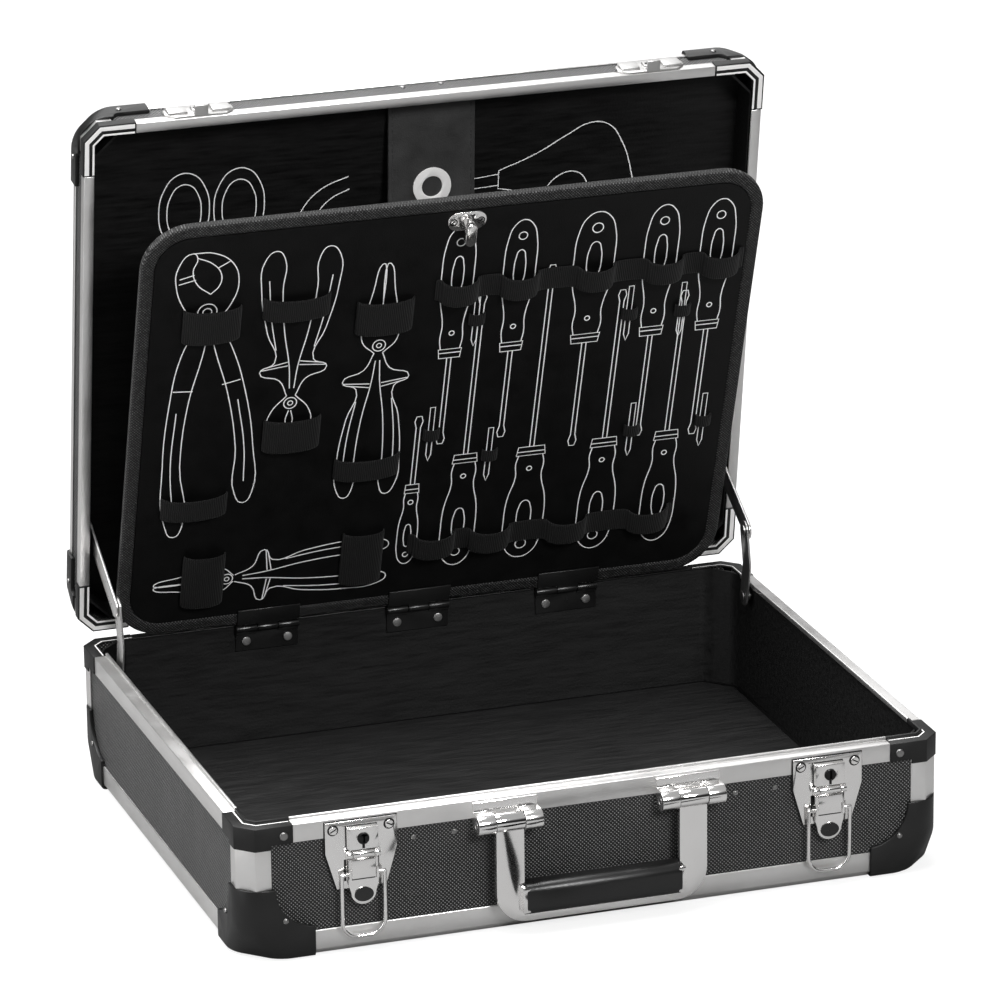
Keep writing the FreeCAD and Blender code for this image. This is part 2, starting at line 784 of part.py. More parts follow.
def rounded_plate(inset, y0, y1):
    half = pallet_width / 2 - inset
    radius = pallet_corner_radius - inset
    plate = box(-half, half, y0, y1, pallet_foot + inset, pallet_foot + pallet_height - inset)
    return plate.makeFillet(radius, [e for e in plate.Edges if e.BoundBox.YLength > (y1 - y0) / 2])


def pallet_edging():
    return rounded_plate(0, 0, pallet_wall).cut(rounded_plate(edging_width, -cut_overrun, cut_overrun))


def pallet_board():
    return rounded_plate(edging_width, board_recess, pallet_wall - board_recess)


def elastic_loop(x, width, bulge, z0, height):
    """One loop of band standing out of the board, open above and below."""
    half = width / 2
    y = board_recess

    def arc(reach, depth):
        return Part.Arc(Vector(x - reach, y, z0), Vector(x, y - depth, z0),
                        Vector(x + reach, y, z0)).toShape()

    outer = arc(half, bulge)
    inner = arc(half - elastic_wall, bulge - elastic_wall)
    ends = [Part.makeLine(Vector(x + side * half, y, z0), Vector(x + side * (half - elastic_wall), y, z0))
            for side in (-1, 1)]
    wire = Part.Wire(Part.__sortEdges__([outer, inner] + ends))
    return Part.Face(wire).extrude(Vector(0, 0, height))


def wavy_band(centre_shares, width, z0):
    """A band sewn flat between its loops, on the right-hand half of the pallet."""
    reach = pallet_width / 2 - edging_width - width * band_end_share
    centres = [share * reach for share in centre_shares]
    pieces = [elastic_loop(x, width, elastic_bulge, z0, elastic_height) for x in centres]
    foot = width / 2 - elastic_wall
    starts = [centres[0] - width * band_end_share] + [x + foot for x in centres]
    ends = [x - foot for x in centres] + [centres[-1] + width * band_end_share]
    for x0, x1 in zip(starts, ends):
        pieces.append(box(x0, x1, board_recess - elastic_wall, board_recess, z0, z0 + elastic_height))
    return fused(pieces)


def loops_at(places_shares, width, bulge, height):
    half = pallet_width / 2
    return [elastic_loop(x_share * half, width, bulge, pallet_foot + z_share * pallet_height - height / 2,
                         height)
            for x_share, z_share in places_shares]


def small_elastics():
    return (loops_at(small_loop_places_shares, small_loop_width, wrap_bulge, elastic_height)
            + loops_at(upright_places_shares, upright_width, wrap_bulge, upright_height)
            + loops_at(bit_loop_places_shares, bit_loop_width, bit_loop_bulge, bit_loop_height))


def butt_hinge(x, part):
    """One leaf of a butt hinge: the middle knuckle is the pallet's, the outer two are the base's."""
    third = butt_width / 3
    if part == "pallet":
        spans = [(x - third / 2 + hinge_knuckle_gap, x + third / 2 - hinge_knuckle_gap)]
        leaf = box(x - butt_width / 2, x + butt_width / 2, -butt_leaf_wall, 0, pallet_foot,
                   butt_leaf_height)
        webs = [box(a, b, -butt_leaf_wall, 0, 0, butt_leaf_height) for a, b in spans]
    else:
        spans = [(x - butt_width / 2, x - third / 2 - hinge_knuckle_gap),
                 (x + third / 2 + hinge_knuckle_gap, x + butt_width / 2)]
        back = pallet_pin_gap
        leaf = box(x - butt_width / 2, x + butt_width / 2, back - butt_leaf_wall, back, -butt_leaf_height,
                   -butt_knuckle_radius - moving_gap)
        webs = [box(a, b, 0, back, -butt_knuckle_radius - moving_gap - butt_leaf_wall, 0) for a, b in spans]
    knuckles = [rod_x(butt_knuckle_radius, a, b, 0, 0) for a, b in spans]
    bore = rod_x(butt_pin_radius + running_clearance, x - butt_width, x + butt_width, 0, 0)
    return fused([leaf] + webs + knuckles).cut(bore)


def butt_places():
    return [step * butt_spacing for step in (-1, 0, 1)]


def pallet_butts(part):
    return [butt_hinge(x, part) for x in butt_places()]


def placed_at_pin(shape):
    copy = shape.copy()
    copy.translate(Vector(0, pallet_pin_y, pallet_pin_height))
    return copy


def butt_pins():
    return [placed_at_pin(rod_x(butt_pin_radius, x - butt_width / 2, x + butt_width / 2, 0, 0))
            for x in butt_places()]


def butt_screws():
    """Two screw heads on each base leaf."""
    face = pallet_pin_gap - butt_leaf_wall
    middle = -(butt_leaf_height + butt_knuckle_radius + moving_gap) / 2
    return [placed_at_pin(rod_y(butt_screw_radius, x + side * butt_width / 3, face - butt_screw_head,
                                face, middle))
            for x in butt_places() for side in (-1, 1)]


def turn_lock_height():
    return pallet_foot + pallet_height - edging_width - lock_drop


def turn_lock_plate():
    z = turn_lock_height()
    y0 = board_recess - lock_plate_wall
    rise = lock_plate_half_width - lock_plate_half_height
    x = lock_offset
    pieces = [box(x - rise, x + rise, y0, board_recess, z - lock_plate_half_height,
                  z + lock_plate_half_height)]
    pieces += [rod_y(lock_plate_half_height, x + side * rise, y0, board_recess, z) for side in (-1, 1)]
    return fused(pieces).cut(rod_y(lock_stem_radius + running_clearance, x, y0, board_recess, z))


def turn_lock_knob():
    """A stem through the plate with a thumb piece that hangs down from it."""
    z = turn_lock_height()
    y0 = board_recess - lock_plate_wall
    x = lock_offset
    stem = rod_y(lock_stem_radius, x, y0 - lock_stem_length, board_recess, z)
    knob_y = y0 - lock_stem_length
    half = lock_knob_width / 2
    foot = z - lock_knob_reach + half
    thumb = [box(x - half, x + half, knob_y - lock_knob_wall, knob_y, foot, z)]
    thumb += [rod_y(half, x, knob_y - lock_knob_wall, knob_y, end) for end in (foot, z)]
    return fused([stem] + thumb)


# Strap in the lid, modelled closed: a tab on the front wall, a bend, then a run under the lid's roof
def strap_run():
    front = front_y + liner_face
    roof = lid_top - floor_wall - liner_wall - strap_start
    return front, roof


def lid_strap():
    front, roof = strap_run()
    end_y = front + strap_length
    end_z = roof - strap_fall
    outline = [(front, roof - strap_tab), (front, roof), (end_y, end_z), (end_y, end_z - strap_wall),
               (front + strap_wall, roof - strap_wall), (front + strap_wall, roof - strap_tab)]
    strap = prism_x(outline, strap_offset - strap_width / 2, strap_offset + strap_width / 2)
    return strap.cut(eyelet_cylinder(eyelet_barrel_radius, -cut_overrun, cut_overrun))


def eyelet_cylinder(radius, low, high):
    """A cylinder square to the strap at the eyelet, between two distances from the strap's middle."""
    front, roof = strap_run()
    along = Vector(0, strap_length, -strap_fall).normalize()
    normal = Vector(0, strap_fall, strap_length).normalize()
    start = Vector(strap_offset, front, roof - strap_wall / 2)
    centre = start + along * (strap_length - eyelet_from_end)
    return Part.makeCylinder(radius, high - low, centre + normal * low, normal)


def strap_eyelet():
    half = strap_wall / 2
    rim = half + eyelet_flange_wall
    ring_body = fused([eyelet_cylinder(eyelet_radius, -rim, -half),
                       eyelet_cylinder(eyelet_barrel_radius, -half, half),
                       eyelet_cylinder(eyelet_radius, half, rim)])
    return ring_body.cut(eyelet_cylinder(eyelet_hole_radius, -cut_overrun, cut_overrun))


# Lid stays, built for the left side: an outer link on the lid and an inner link on the base
def stay_base_pivot():
    return Vector(0, hinge_y - stay_base_reach, base_height - stay_base_drop)


def stay_lid_pivot_closed():
    return Vector(0, hinge_y - stay_lid_reach, lid_bottom + stay_lid_rise)


def stay_lid_pivot():
    point = stay_lid_pivot_closed() - Vector(0, hinge_y, hinge_z)
    angle = math.radians(lid_open_angle)
    y = point.y * math.cos(angle) + point.z * math.sin(angle)
    z = point.z * math.cos(angle) - point.y * math.sin(angle)
    return Vector(0, hinge_y + y, hinge_z + z)


def stay_knee(lid_pivot):
    """Where the two links meet, on the forward side of the line between their pivots."""
    start = stay_base_pivot()
    line = lid_pivot - start
    span = line.Length
    along = (stay_lower_length ** 2 - stay_upper_length ** 2 + span ** 2) / (2 * span)
    aside = math.sqrt(stay_lower_length ** 2 - along ** 2)
    direction = line * (1 / span)
    forward = Vector(0, -direction.z, direction.y)
    return start + direction * along + forward * aside


def disc_x(radius, length, x, point):
    return Part.makeCylinder(radius, length, Vector(x, point.y, point.z), X_AXIS)


def stay_link(start, end, x, kink):
    """A flat link with round ends, bowed forward by a kink at its middle."""
    middle = (start + end) * 0.5
    direction = (end - start).normalize()
    side = Vector(0, -direction.z, direction.y)
    middle = middle + side * kink
    radius = stay_width / 2
    pieces = [disc_x(radius, stay_wall, x, p) for p in (start, middle, end)]
    for a, b in ((start, middle), (middle, end)):
        run = (b - a).normalize()
        aside = Vector(0, -run.z, run.y) * radius
        corners = [Vector(x, p.y, p.z) for p in (a + aside, b + aside, b - aside, a - aside)]
        pieces.append(prism(corners, X_AXIS * stay_wall))
    return fused(pieces)


def stay_bore(point):
    return rod_x(stay_rivet_radius + running_clearance, -half_width, 0, point.y, point.z)


def stay_lower_link():
    knee = stay_knee(stay_lid_pivot())
    link = stay_link(stay_base_pivot(), knee, stay_inner_x, stay_kink)
    head = disc_x(stay_rivet_head_radius, stay_rivet_head, stay_inner_x + stay_wall, knee)
    return fused([link, head]).cut(stay_bore(stay_base_pivot()))


def stay_upper_link():
    knee = stay_knee(stay_lid_pivot())
    link = stay_link(stay_lid_pivot(), knee, stay_outer_x, 0)
    boss = disc_x(stay_rivet_head_radius, stay_layer_gap / 2, stay_outer_x + stay_wall, knee)
    return fused([link, boss]).cut(stay_bore(stay_lid_pivot()))


def stay_rivet(point, link_x):
    """A shouldered rivet from the liner through a link, with a head on its inner side."""
    wall_x = -half_width + liner_face
    head_x = link_x + stay_wall + moving_gap
    shoulder = disc_x(stay_rivet_head_radius, link_x - moving_gap - wall_x, wall_x, point)
    shank = disc_x(stay_rivet_radius, head_x - wall_x, wall_x, point)
    head = disc_x(stay_rivet_head_radius, stay_rivet_head, head_x, point)
    return fused([shoulder, shank, head])


def stay_base_rivet():
    return stay_rivet(stay_base_pivot(), stay_inner_x)


def stay_lid_rivet():
    return stay_rivet(stay_lid_pivot_closed(), stay_outer_x)


# Export
def export(name, shapes):
    solids = shapes if isinstance(shapes, list) else [shapes]
    shape = solids[0] if len(solids) == 1 else Part.makeCompound(solids)
    shape.exportStep("parts/" + name + ".step")


def base_nodes():
    panels = wall_panels(panel_foot, base_height - frame_wall, base_cut_height, base_cut_run)
    nodes = {"base_" + side + "_panel": panel for side, panel in panels.items()}
    nodes.update({
        "base_floor_panel": floor_panel(), "base_liner": tray_liner(base_height - frame_wall),
        "base_rim": base_rim_pieces(), "base_hinge_rail": base_hinge_rail(),
        "base_edge_trim": edge_trims(base_trim_height),
        "base_corner_posts": corner_posts(base_guard_height, base_height - base_rim_height),
        "base_corner_guards": corner_guards(base_guard_height, base_guard_arm_height, base_cut_height,
                                            base_cut_run),
        "base_rim_corners": base_rim_corners(), "base_rivets": base_rivets(),
        "latch_plates": both_sides(latch_plate()), "handle_brackets": both_sides(handle_bracket()),
        "handle_pins": both_sides(handle_pin()), "lid_hinge_base_leaf": hinge_leaf(0, -1),
        "lid_hinge_pin": lid_hinge_pin(),
        "pallet_hinge_base_leaves": [placed_at_pin(leaf) for leaf in pallet_butts("base")],
        "pallet_hinge_pins": butt_pins(), "pallet_hinge_screws": butt_screws()})
    return nodes


def lid_nodes():
    panels = wall_panels(panel_foot, lid_height - frame_wall, lid_cut_height, lid_cut_run)
    guards = corner_guards(lid_guard_height, lid_guard_arm_height, lid_cut_height, lid_cut_run)
    liner = flipped(tray_liner(lid_height - liner_edge_drop))
    nodes = {"lid_" + side + "_panel": opened(flipped(panel)) for side, panel in panels.items()}
    nodes.update({
        "lid_top_panel": opened(flipped(floor_panel())), "lid_liner": opened(liner),
        "lid_rim": [opened(p) for p in lid_rim_pieces()], "lid_hinge_rail": opened(lid_hinge_rail()),
        "lid_edge_trim": [opened(flipped(p)) for p in edge_trims(lid_trim_height)],
        "lid_corner_posts": [opened(p) for p in corner_posts(lid_bottom + lid_rim_height,
                                                             lid_top - lid_guard_height)],
        "lid_corner_guards": [opened(flipped(p)) for p in guards],
        "lid_rim_corners": [opened(p) for p in lid_rim_corners()], "lid_rivets": lid_rivets(),
        "lid_catches": [opened(p) for p in both_sides(lid_catch())],
        "lid_hinge_leaf": opened(hinge_leaf(1, 1)),
        "lid_strap": opened(lid_strap()), "strap_eyelet": opened(strap_eyelet())})
    return nodes


def pallet_nodes():
    nodes = {
        "pallet_board": pallet_board(), "pallet_edging": pallet_edging(),
        "pallet_upper_elastic": wavy_band(upper_elastic_centres_shares, upper_loop_width,
                                          upper_elastic_rise),
        "pallet_lower_elastic": wavy_band(lower_elastic_centres_shares, lower_loop_width,
                                          lower_elastic_rise),
        "pallet_plier_elastics": loops_at(wrap_places_shares, wrap_width, wrap_bulge, wrap_height),
        "pallet_small_elastics": small_elastics(), "pallet_hinge_leaves": pallet_butts("pallet"),
        "turn_lock_plate": turn_lock_plate(), "turn_lock_knob": turn_lock_knob()}
    return {name: [on_pallet(s) for s in (shape if isinstance(shape, list) else [shape])]
            for name, shape in nodes.items()}


def moving_nodes():
    nodes = {"handle_frame": handle_frame(), "handle_grip": handle_grip()}
    pairs = {"latch_lever": latch_lever(), "latch_bail": latch_bail(), "lock_cylinder": lock_cylinder(),
             "stay_lower_link": stay_lower_link(), "stay_upper_link": stay_upper_link()}
    for name, left in pairs.items():
        nodes[name + "_left"] = left
        nodes[name + "_right"] = mirrored_x(left)
    return nodes


def main():
    os.makedirs("parts", exist_ok=True)
    for group in (base_nodes(), lid_nodes(), pallet_nodes(), moving_nodes()):
        for name, shapes in group.items():
            export(name, shapes)
    knee = stay_knee(stay_lid_pivot())
    closed_knee = stay_knee(stay_lid_pivot_closed())
    for label, point in (("lid pivot", stay_lid_pivot()), ("base pivot", stay_base_pivot()),
                         ("open knee", knee),
                         ("closed knee", closed_knee), ("closed lid pivot", stay_lid_pivot_closed())):
        print("stay", label, round(point.y, 3), round(point.z, 3))


main()
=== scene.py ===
# %% [markdown]
# # An open tool case with an aluminium frame
# The case stands open on its underside, with a tool pallet leaning out in front of the lid. The solid
# frame of the case comes from CAD and is loaded first. Everything here dresses that frame: rounder
# edges, real finishes, soft elastic bands, a stitched strap and the printed tool outlines.

# %% Load the frame
import json
import math
import bpy
from mathutils import Matrix, Vector


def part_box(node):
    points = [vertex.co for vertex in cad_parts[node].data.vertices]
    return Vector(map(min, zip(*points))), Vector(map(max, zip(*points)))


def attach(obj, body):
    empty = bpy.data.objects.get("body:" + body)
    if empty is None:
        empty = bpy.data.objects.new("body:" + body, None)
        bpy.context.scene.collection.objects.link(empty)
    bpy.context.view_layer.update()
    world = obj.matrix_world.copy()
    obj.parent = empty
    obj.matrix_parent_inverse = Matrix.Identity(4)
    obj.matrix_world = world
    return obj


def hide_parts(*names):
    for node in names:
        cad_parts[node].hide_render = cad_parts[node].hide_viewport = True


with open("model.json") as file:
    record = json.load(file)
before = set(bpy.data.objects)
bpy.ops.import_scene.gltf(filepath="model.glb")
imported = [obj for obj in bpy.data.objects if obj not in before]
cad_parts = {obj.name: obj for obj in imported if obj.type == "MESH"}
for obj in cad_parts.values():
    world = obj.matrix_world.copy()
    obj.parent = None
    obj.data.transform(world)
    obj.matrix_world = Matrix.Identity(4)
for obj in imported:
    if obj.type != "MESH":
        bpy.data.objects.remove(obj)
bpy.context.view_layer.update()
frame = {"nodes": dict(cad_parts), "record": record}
MM = 0.001
BODIES = frame["record"]["behaviour"]["bodies"]
BODY_OF = {node: body for body, group in BODIES.items() for node in group}
SLOT_OF = {row["node"]: row["material_slot"] for row in frame["record"]["subparts"]}


# %% [markdown]
# The photograph was taken from the front left and a little above, with a long lens, so lines that run
# to the back hardly draw together. The camera could be turned by hand until the picture fits. Here it
# is built from its three directions, which keeps the small roll of the picture exact.

# %% Camera
CAMERA_EYE = Vector((-1.213378, -3.576951, 1.493054))
CAMERA_TURN = math.radians(18.749)
CAMERA_DIP = math.radians(18.689)
CAMERA_ROLL = math.radians(-0.616)
CAMERA_LENS = 225.6
CAMERA_SENSOR = 36.0
CAMERA_SIGHT = 50.0

camera_data = bpy.data.cameras.new("camera")
camera_data.sensor_width = CAMERA_SENSOR
camera_data.lens = CAMERA_LENS
camera_data.clip_end = CAMERA_SIGHT
camera = bpy.data.objects.new("camera", camera_data)
bpy.context.scene.collection.objects.link(camera)
forward = Vector((math.sin(CAMERA_TURN) * math.cos(CAMERA_DIP),
                  math.cos(CAMERA_TURN) * math.cos(CAMERA_DIP),
                  -math.sin(CAMERA_DIP)))
level_right = forward.cross(Vector((0, 0, 1))).normalized()
level_up = level_right.cross(forward)
right = math.cos(CAMERA_ROLL) * level_right + math.sin(CAMERA_ROLL) * level_up
up = math.cos(CAMERA_ROLL) * level_up - math.sin(CAMERA_ROLL) * level_right
facing = Matrix((right, up, -forward)).transposed().to_4x4()
camera.matrix_world = Matrix.Translation(CAMERA_EYE) @ facing
bpy.context.scene.camera = camera
bpy.context.scene.view_settings.view_transform = "Standard"
print("camera", tuple(round(value, 3) for value in camera.location))

# %% [markdown]
# Half of the case is bright metal and half is black lining, so the light is soft but not even. A broad
# lamp overhead makes the upward faces pale, one on the left lights the side, and a weak one behind the
# lid gives upward plastic its sheen. The lamp in front is smaller, so that the chrome shows clear
# highlights and the lining keeps its depth.

# %% Studio lamps
CASE_MIDDLE = Vector((0, 0, 0.2))


def area_lamp(name, place, size, watts):
    lamp_data = bpy.data.lights.new(name, "AREA")
    lamp_data.shape = "DISK"
    lamp_data.size = size
    lamp_data.energy = watts
    lamp = bpy.data.objects.new(name, lamp_data)
    bpy.context.scene.collection.objects.link(lamp)
    lamp.location = place
    lamp.rotation_euler = (CASE_MIDDLE - Vector(place)).to_track_quat("-Z", "Y").to_euler()


area_lamp("lamp_above", (-0.5, 0.3, 2.4), size=2.2, watts=112)
area_lamp("lamp_left", (-2.5, -0.2, 1.2), size=2.4, watts=40)
area_lamp("lamp_front", (0.5, -2.9, 2.0), size=0.9, watts=70)
area_lamp("lamp_behind", (0.9, 2.4, 1.9), size=2.4, watts=20)
print("lamps", [light.name for light in bpy.data.lights])

# %% [markdown]
# Sky, floor and finishes are graphs of nodes. They could be drawn by hand in the shader editor. In a
# script, a helper that adds a node and sets or links its inputs keeps each graph down to a few lines.


# %% Node helpers
def add(tree, kind, inputs=None, **settings):
    """Add a node with its settings, and give each of the inputs a value or a link."""
    node = tree.nodes.new(kind)
    for key, value in settings.items():
        setattr(node, key, value)
    for key, value in (inputs or {}).items():
        if isinstance(value, bpy.types.NodeSocket):
            tree.links.new(value, node.inputs[key])
        else:
            node.inputs[key].default_value = value
    return node


def math_node(tree, operation, first, second=0.0):
    return add(tree, "ShaderNodeMath", {0: first, 1: second}, operation=operation).outputs[0]


def object_place(tree):
    return add(tree, "ShaderNodeTexCoord").outputs["Object"]


def grey(value, warmth=0.0):
    return (value * (1 + warmth), value, value * (1 - warmth), 1)


# %% [markdown]
# Chrome shows what is round it, so the sky matters even where it isn't seen. It is a ramp over height,
# bright above and dark near the horizon, which gives the metal something to mirror. The camera itself
# sees plain white, so the background stays clean.

# %% Sky
SKY_STRENGTH = 0.42
SKY_STOPS = ((0.0, 0.3), (0.05, 0.03), (0.36, 0.06), (0.6, 0.95))

world = bpy.data.worlds.new("studio")
bpy.context.scene.world = world
world.use_nodes = True
sky = world.node_tree
sky.nodes.clear()
sky_direction = add(sky, "ShaderNodeTexCoord").outputs["Generated"]
sky_height = add(sky, "ShaderNodeSeparateXYZ", {"Vector": sky_direction}).outputs["Z"]
sky_ramp = add(sky, "ShaderNodeValToRGB", {"Fac": sky_height})
stops = sky_ramp.color_ramp.elements
while len(stops) < len(SKY_STOPS):
    stops.new(0.5)
for stop, (height, level) in zip(stops, SKY_STOPS):
    stop.position = height
    stop.color = grey(level)
sky_lit = add(sky, "ShaderNodeBackground", {"Color": sky_ramp.outputs["Color"], "Strength": SKY_STRENGTH})
sky_seen = add(sky, "ShaderNodeBackground", {"Color": grey(1.0)})
sky_mix = add(sky, "ShaderNodeMixShader", {"Fac": add(sky, "ShaderNodeLightPath").outputs["Is Camera Ray"],
                                           1: sky_lit.outputs["Background"],
                                           2: sky_seen.outputs["Background"]})
add(sky, "ShaderNodeOutputWorld", {"Surface": sky_mix.outputs["Shader"]})
print("sky stops", len(stops))

# %% [markdown]
# The floor is a plain pale sheet. Seen directly it glows almost white and keeps only a faint shadow
# round the case. In reflections it is a mid grey, as a paper sweep is, so that the metal doesn't turn
# into one white patch. A photographer lays a black card in front of chrome to give it contrast. Here
# the card is a dark patch of the sheet that only reflections show, and the handle mirrors it.

# %% Floor
FLOOR_SIZE = 12.0
FLOOR_DROP = 0.0004
FLOOR_GLOW = 0.8
SHEET_GREY = 0.225
CARD_GREY = 0.004
CARD_PLACE = (0.06, -0.36, 0)
CARD_TURN = math.radians(-30)
CARD_HALF = (0.13, 0.04, 1)

bpy.ops.object.select_all(action="DESELECT")
bpy.ops.mesh.primitive_plane_add(size=FLOOR_SIZE, location=(0, 0, -FLOOR_DROP))
floor = bpy.context.view_layer.objects.active
floor.name = "studio_floor"
floor_pale = bpy.data.materials.new("floor_pale")
floor_pale.use_nodes = True
paper = floor_pale.node_tree
paper.nodes.clear()
rays = add(paper, "ShaderNodeLightPath").outputs
sheet = add(paper, "ShaderNodeBsdfDiffuse", {"Color": grey(SHEET_GREY)}).outputs["BSDF"]
card = add(paper, "ShaderNodeBsdfDiffuse", {"Color": grey(CARD_GREY)}).outputs["BSDF"]
card_map = add(paper, "ShaderNodeMapping", {"Vector": object_place(paper), "Location": CARD_PLACE,
                                            "Rotation": (0, 0, CARD_TURN), "Scale": CARD_HALF},
               vector_type="TEXTURE")
card_axes = add(paper, "ShaderNodeSeparateXYZ", {"Vector": card_map.outputs["Vector"]}).outputs
on_card = rays["Is Glossy Ray"]
for axis in ("X", "Y"):
    within = math_node(paper, "LESS_THAN", math_node(paper, "ABSOLUTE", card_axes[axis]), 1.0)
    on_card = math_node(paper, "MULTIPLY", on_card, within)
mirrored = add(paper, "ShaderNodeMixShader", {"Fac": on_card, 1: sheet, 2: card}).outputs["Shader"]
glow = add(paper, "ShaderNodeEmission", {"Strength": FLOOR_GLOW}).outputs["Emission"]
seen = add(paper, "ShaderNodeAddShader", {0: sheet, 1: glow}).outputs["Shader"]
paper_mix = add(paper, "ShaderNodeMixShader", {"Fac": rays["Is Camera Ray"], 1: mirrored, 2: seen})
add(paper, "ShaderNodeOutputMaterial", {"Surface": paper_mix.outputs["Shader"]})
floor.data.materials.append(floor_pale)
print("floor", FLOOR_SIZE, "m")

# %% [markdown]
# Each finish on the case starts from the same main shader, and most need the same few nodes: a value
# spread over a range, a mix of two greys and a bump. A helper for each keeps the recipes below
# readable.

# %% Finish helpers
MIX_DARK, MIX_LIGHT, MIX_RESULT = 6, 7, 2


def start_material(name, **shader_values):
    material = bpy.data.materials.new(name)
    material.use_nodes = True
    shader = material.node_tree.nodes["Principled BSDF"]
    for key, value in shader_values.items():
        shader.inputs[key.replace("_", " ")].default_value = value
    return material, material.node_tree, shader


def ramp(tree, factor, low, high, start=0.0, end=1.0):
    node = add(tree, "ShaderNodeMapRange", {"Value": factor, "From Min": start, "From Max": end,
                                            "To Min": low, "To Max": high})
    return node.outputs["Result"]


def colour_mix(tree, factor, dark, light):
    node = add(tree, "ShaderNodeMix", {"Factor": factor}, data_type="RGBA")
    node.inputs[MIX_DARK].default_value = dark
    node.inputs[MIX_LIGHT].default_value = light
    return node.outputs[MIX_RESULT]


def bump(tree, height, distance):
    return add(tree, "ShaderNodeBump", {"Height": height, "Distance": distance}).outputs["Normal"]


# %% [markdown]
# Some effects are needed by many finishes, so each is a node group with named sockets. The first two
# are soft mottling, for wear and handling marks, and a pebbled grain for vinyl and leatherette.

# %% Mottling and grain
def start_group(name, inputs, output):
    """Start a node group whose inputs are given as name: default, where None stands for a vector."""
    group = bpy.data.node_groups.new(name, "ShaderNodeTree")
    for socket, value in inputs.items():
        kind = "NodeSocketVector" if value is None else "NodeSocketFloat"
        made = group.interface.new_socket(socket, in_out="INPUT", socket_type=kind)
        if value is not None:
            made.default_value = value
    group.interface.new_socket(output, in_out="OUTPUT", socket_type="NodeSocketFloat")
    given = group.nodes.new("NodeGroupInput").outputs
    return group, given, group.nodes.new("NodeGroupOutput").inputs[output]


def use_group(tree, group, **inputs):
    return add(tree, "ShaderNodeGroup", inputs, node_tree=group).outputs


mottle, given, result = start_group("soft_mottle", {"Place": None, "Scale": 60.0}, "Value")
mottle_noise = add(mottle, "ShaderNodeTexNoise", {"Vector": given["Place"], "Scale": given["Scale"],
                                                  "Detail": 5.0, "Roughness": 0.62})
mottle.links.new(ramp(mottle, mottle_noise.outputs["Fac"], 0.0, 1.0, 0.3, 0.7), result)

grain, given, result = start_group("pebble_grain", {"Place": None, "Scale": 900.0}, "Height")
grain_cells = add(grain, "ShaderNodeTexVoronoi", {"Vector": given["Place"], "Scale": given["Scale"]},
                  feature="SMOOTH_F1")
grain_noise = add(grain, "ShaderNodeTexNoise", {"Vector": given["Place"], "Scale": given["Scale"],
                                                "Detail": 3.0})
half_noise = math_node(grain, "MULTIPLY", grain_noise.outputs["Fac"], 0.5)
grain.links.new(math_node(grain, "ADD", grain_cells.outputs["Distance"], half_noise), result)
print("surface groups", mottle.name, grain.name)

# %% [markdown]
# The other two are regular patterns: the small staggered pyramids of the case's panels and the ribs of
# woven elastic. An image could give them, but a formula stays sharp at any distance and needs no
# unwrapping.

# %% Pyramids and ribs
PICKS_PER_RIB = 1.6
PICK_DEPTH = 0.35

pyramids, given, result = start_group("staggered_pyramids", {"Across": 0.0, "Up": 0.0, "Pitch": 0.003},
                                      "Height")
cell_u = math_node(pyramids, "DIVIDE", given["Across"], given["Pitch"])
cell_v = math_node(pyramids, "DIVIDE", given["Up"], given["Pitch"])
slants = []
for sign in ("ADD", "SUBTRACT"):
    share = math_node(pyramids, "FRACT", math_node(pyramids, sign, cell_u, cell_v))
    slants.append(math_node(pyramids, "ABSOLUTE", math_node(pyramids, "SUBTRACT", share, 0.5)))
steep = math_node(pyramids, "MULTIPLY", math_node(pyramids, "MAXIMUM", slants[0], slants[1]), 2.0)
pyramids.links.new(math_node(pyramids, "SUBTRACT", 1.0, steep), result)

ribs, given, result = start_group("woven_ribs", {"Along": 0.0, "Across": 0.0, "Pitch": 0.0016}, "Height")
rib_count = math_node(ribs, "DIVIDE", given["Along"], given["Pitch"])
pick_count = math_node(ribs, "DIVIDE", given["Across"], given["Pitch"])
rib_wave = math_node(ribs, "SINE", math_node(ribs, "MULTIPLY", rib_count, math.tau))
pick_wave = math_node(ribs, "SINE", math_node(ribs, "MULTIPLY", pick_count, math.tau * PICKS_PER_RIB))
ribs.links.new(math_node(ribs, "ADD", rib_wave, math_node(ribs, "MULTIPLY", pick_wave, PICK_DEPTH)), result)
print("pattern groups", pyramids.name, ribs.name)

# %% [markdown]
# The frame is satin anodised aluminium: a metal with a soft, slightly uneven gloss and faint handling
# marks. Chrome is the same idea with a far smoother surface, and steel pieces sit between the two. The
# handle is pressed from strip, so its chrome gets a slow swell that bends what it mirrors. The eyelet
# and the rim's strips are hardly metallic at all: their pale matt grey is a painted reflection, which
# stands in for the light that their bright metal mirrors.

# %% Metals
MARK_SHARE = 0.94
SWELL_SCALE = 9.0
SWELL_DEPTH = 0.012


def metal(name, tint, roughness, spread, scale, metallic=1.0):
    material, tree, shader = start_material(name, Metallic=metallic)
    marks = use_group(tree, mottle, Place=object_place(tree), Scale=scale)["Value"]
    tint_mix = colour_mix(tree, marks, grey(tint * MARK_SHARE, 0.012), grey(tint, 0.008))
    tree.links.new(ramp(tree, marks, roughness - spread, roughness + spread), shader.inputs["Roughness"])
    tree.links.new(tint_mix, shader.inputs["Base Color"])
    return material


satin_aluminium = metal("satin_aluminium", tint=0.84, roughness=0.38, spread=0.035, scale=45.0)
bright_chrome = metal("bright_chrome", tint=0.96, roughness=0.15, spread=0.012, scale=20.0)
pressed_chrome = metal("pressed_chrome", tint=0.96, roughness=0.07, spread=0.012, scale=20.0)
rivet_steel = metal("rivet_steel", tint=0.28, roughness=0.32, spread=0.04, scale=120.0)
catch_steel = metal("catch_steel", tint=0.5, roughness=0.42, spread=0.05, scale=90.0)
stay_steel = metal("stay_steel", tint=0.72, roughness=0.3, spread=0.04, scale=80.0)
# Pale matt grey for the eyelet and the rim's strips: a painted reflection of bright metal.
painted_pale_metal = metal("painted_pale_metal", tint=0.93, roughness=0.42, spread=0.05, scale=60.0, metallic=0.05)

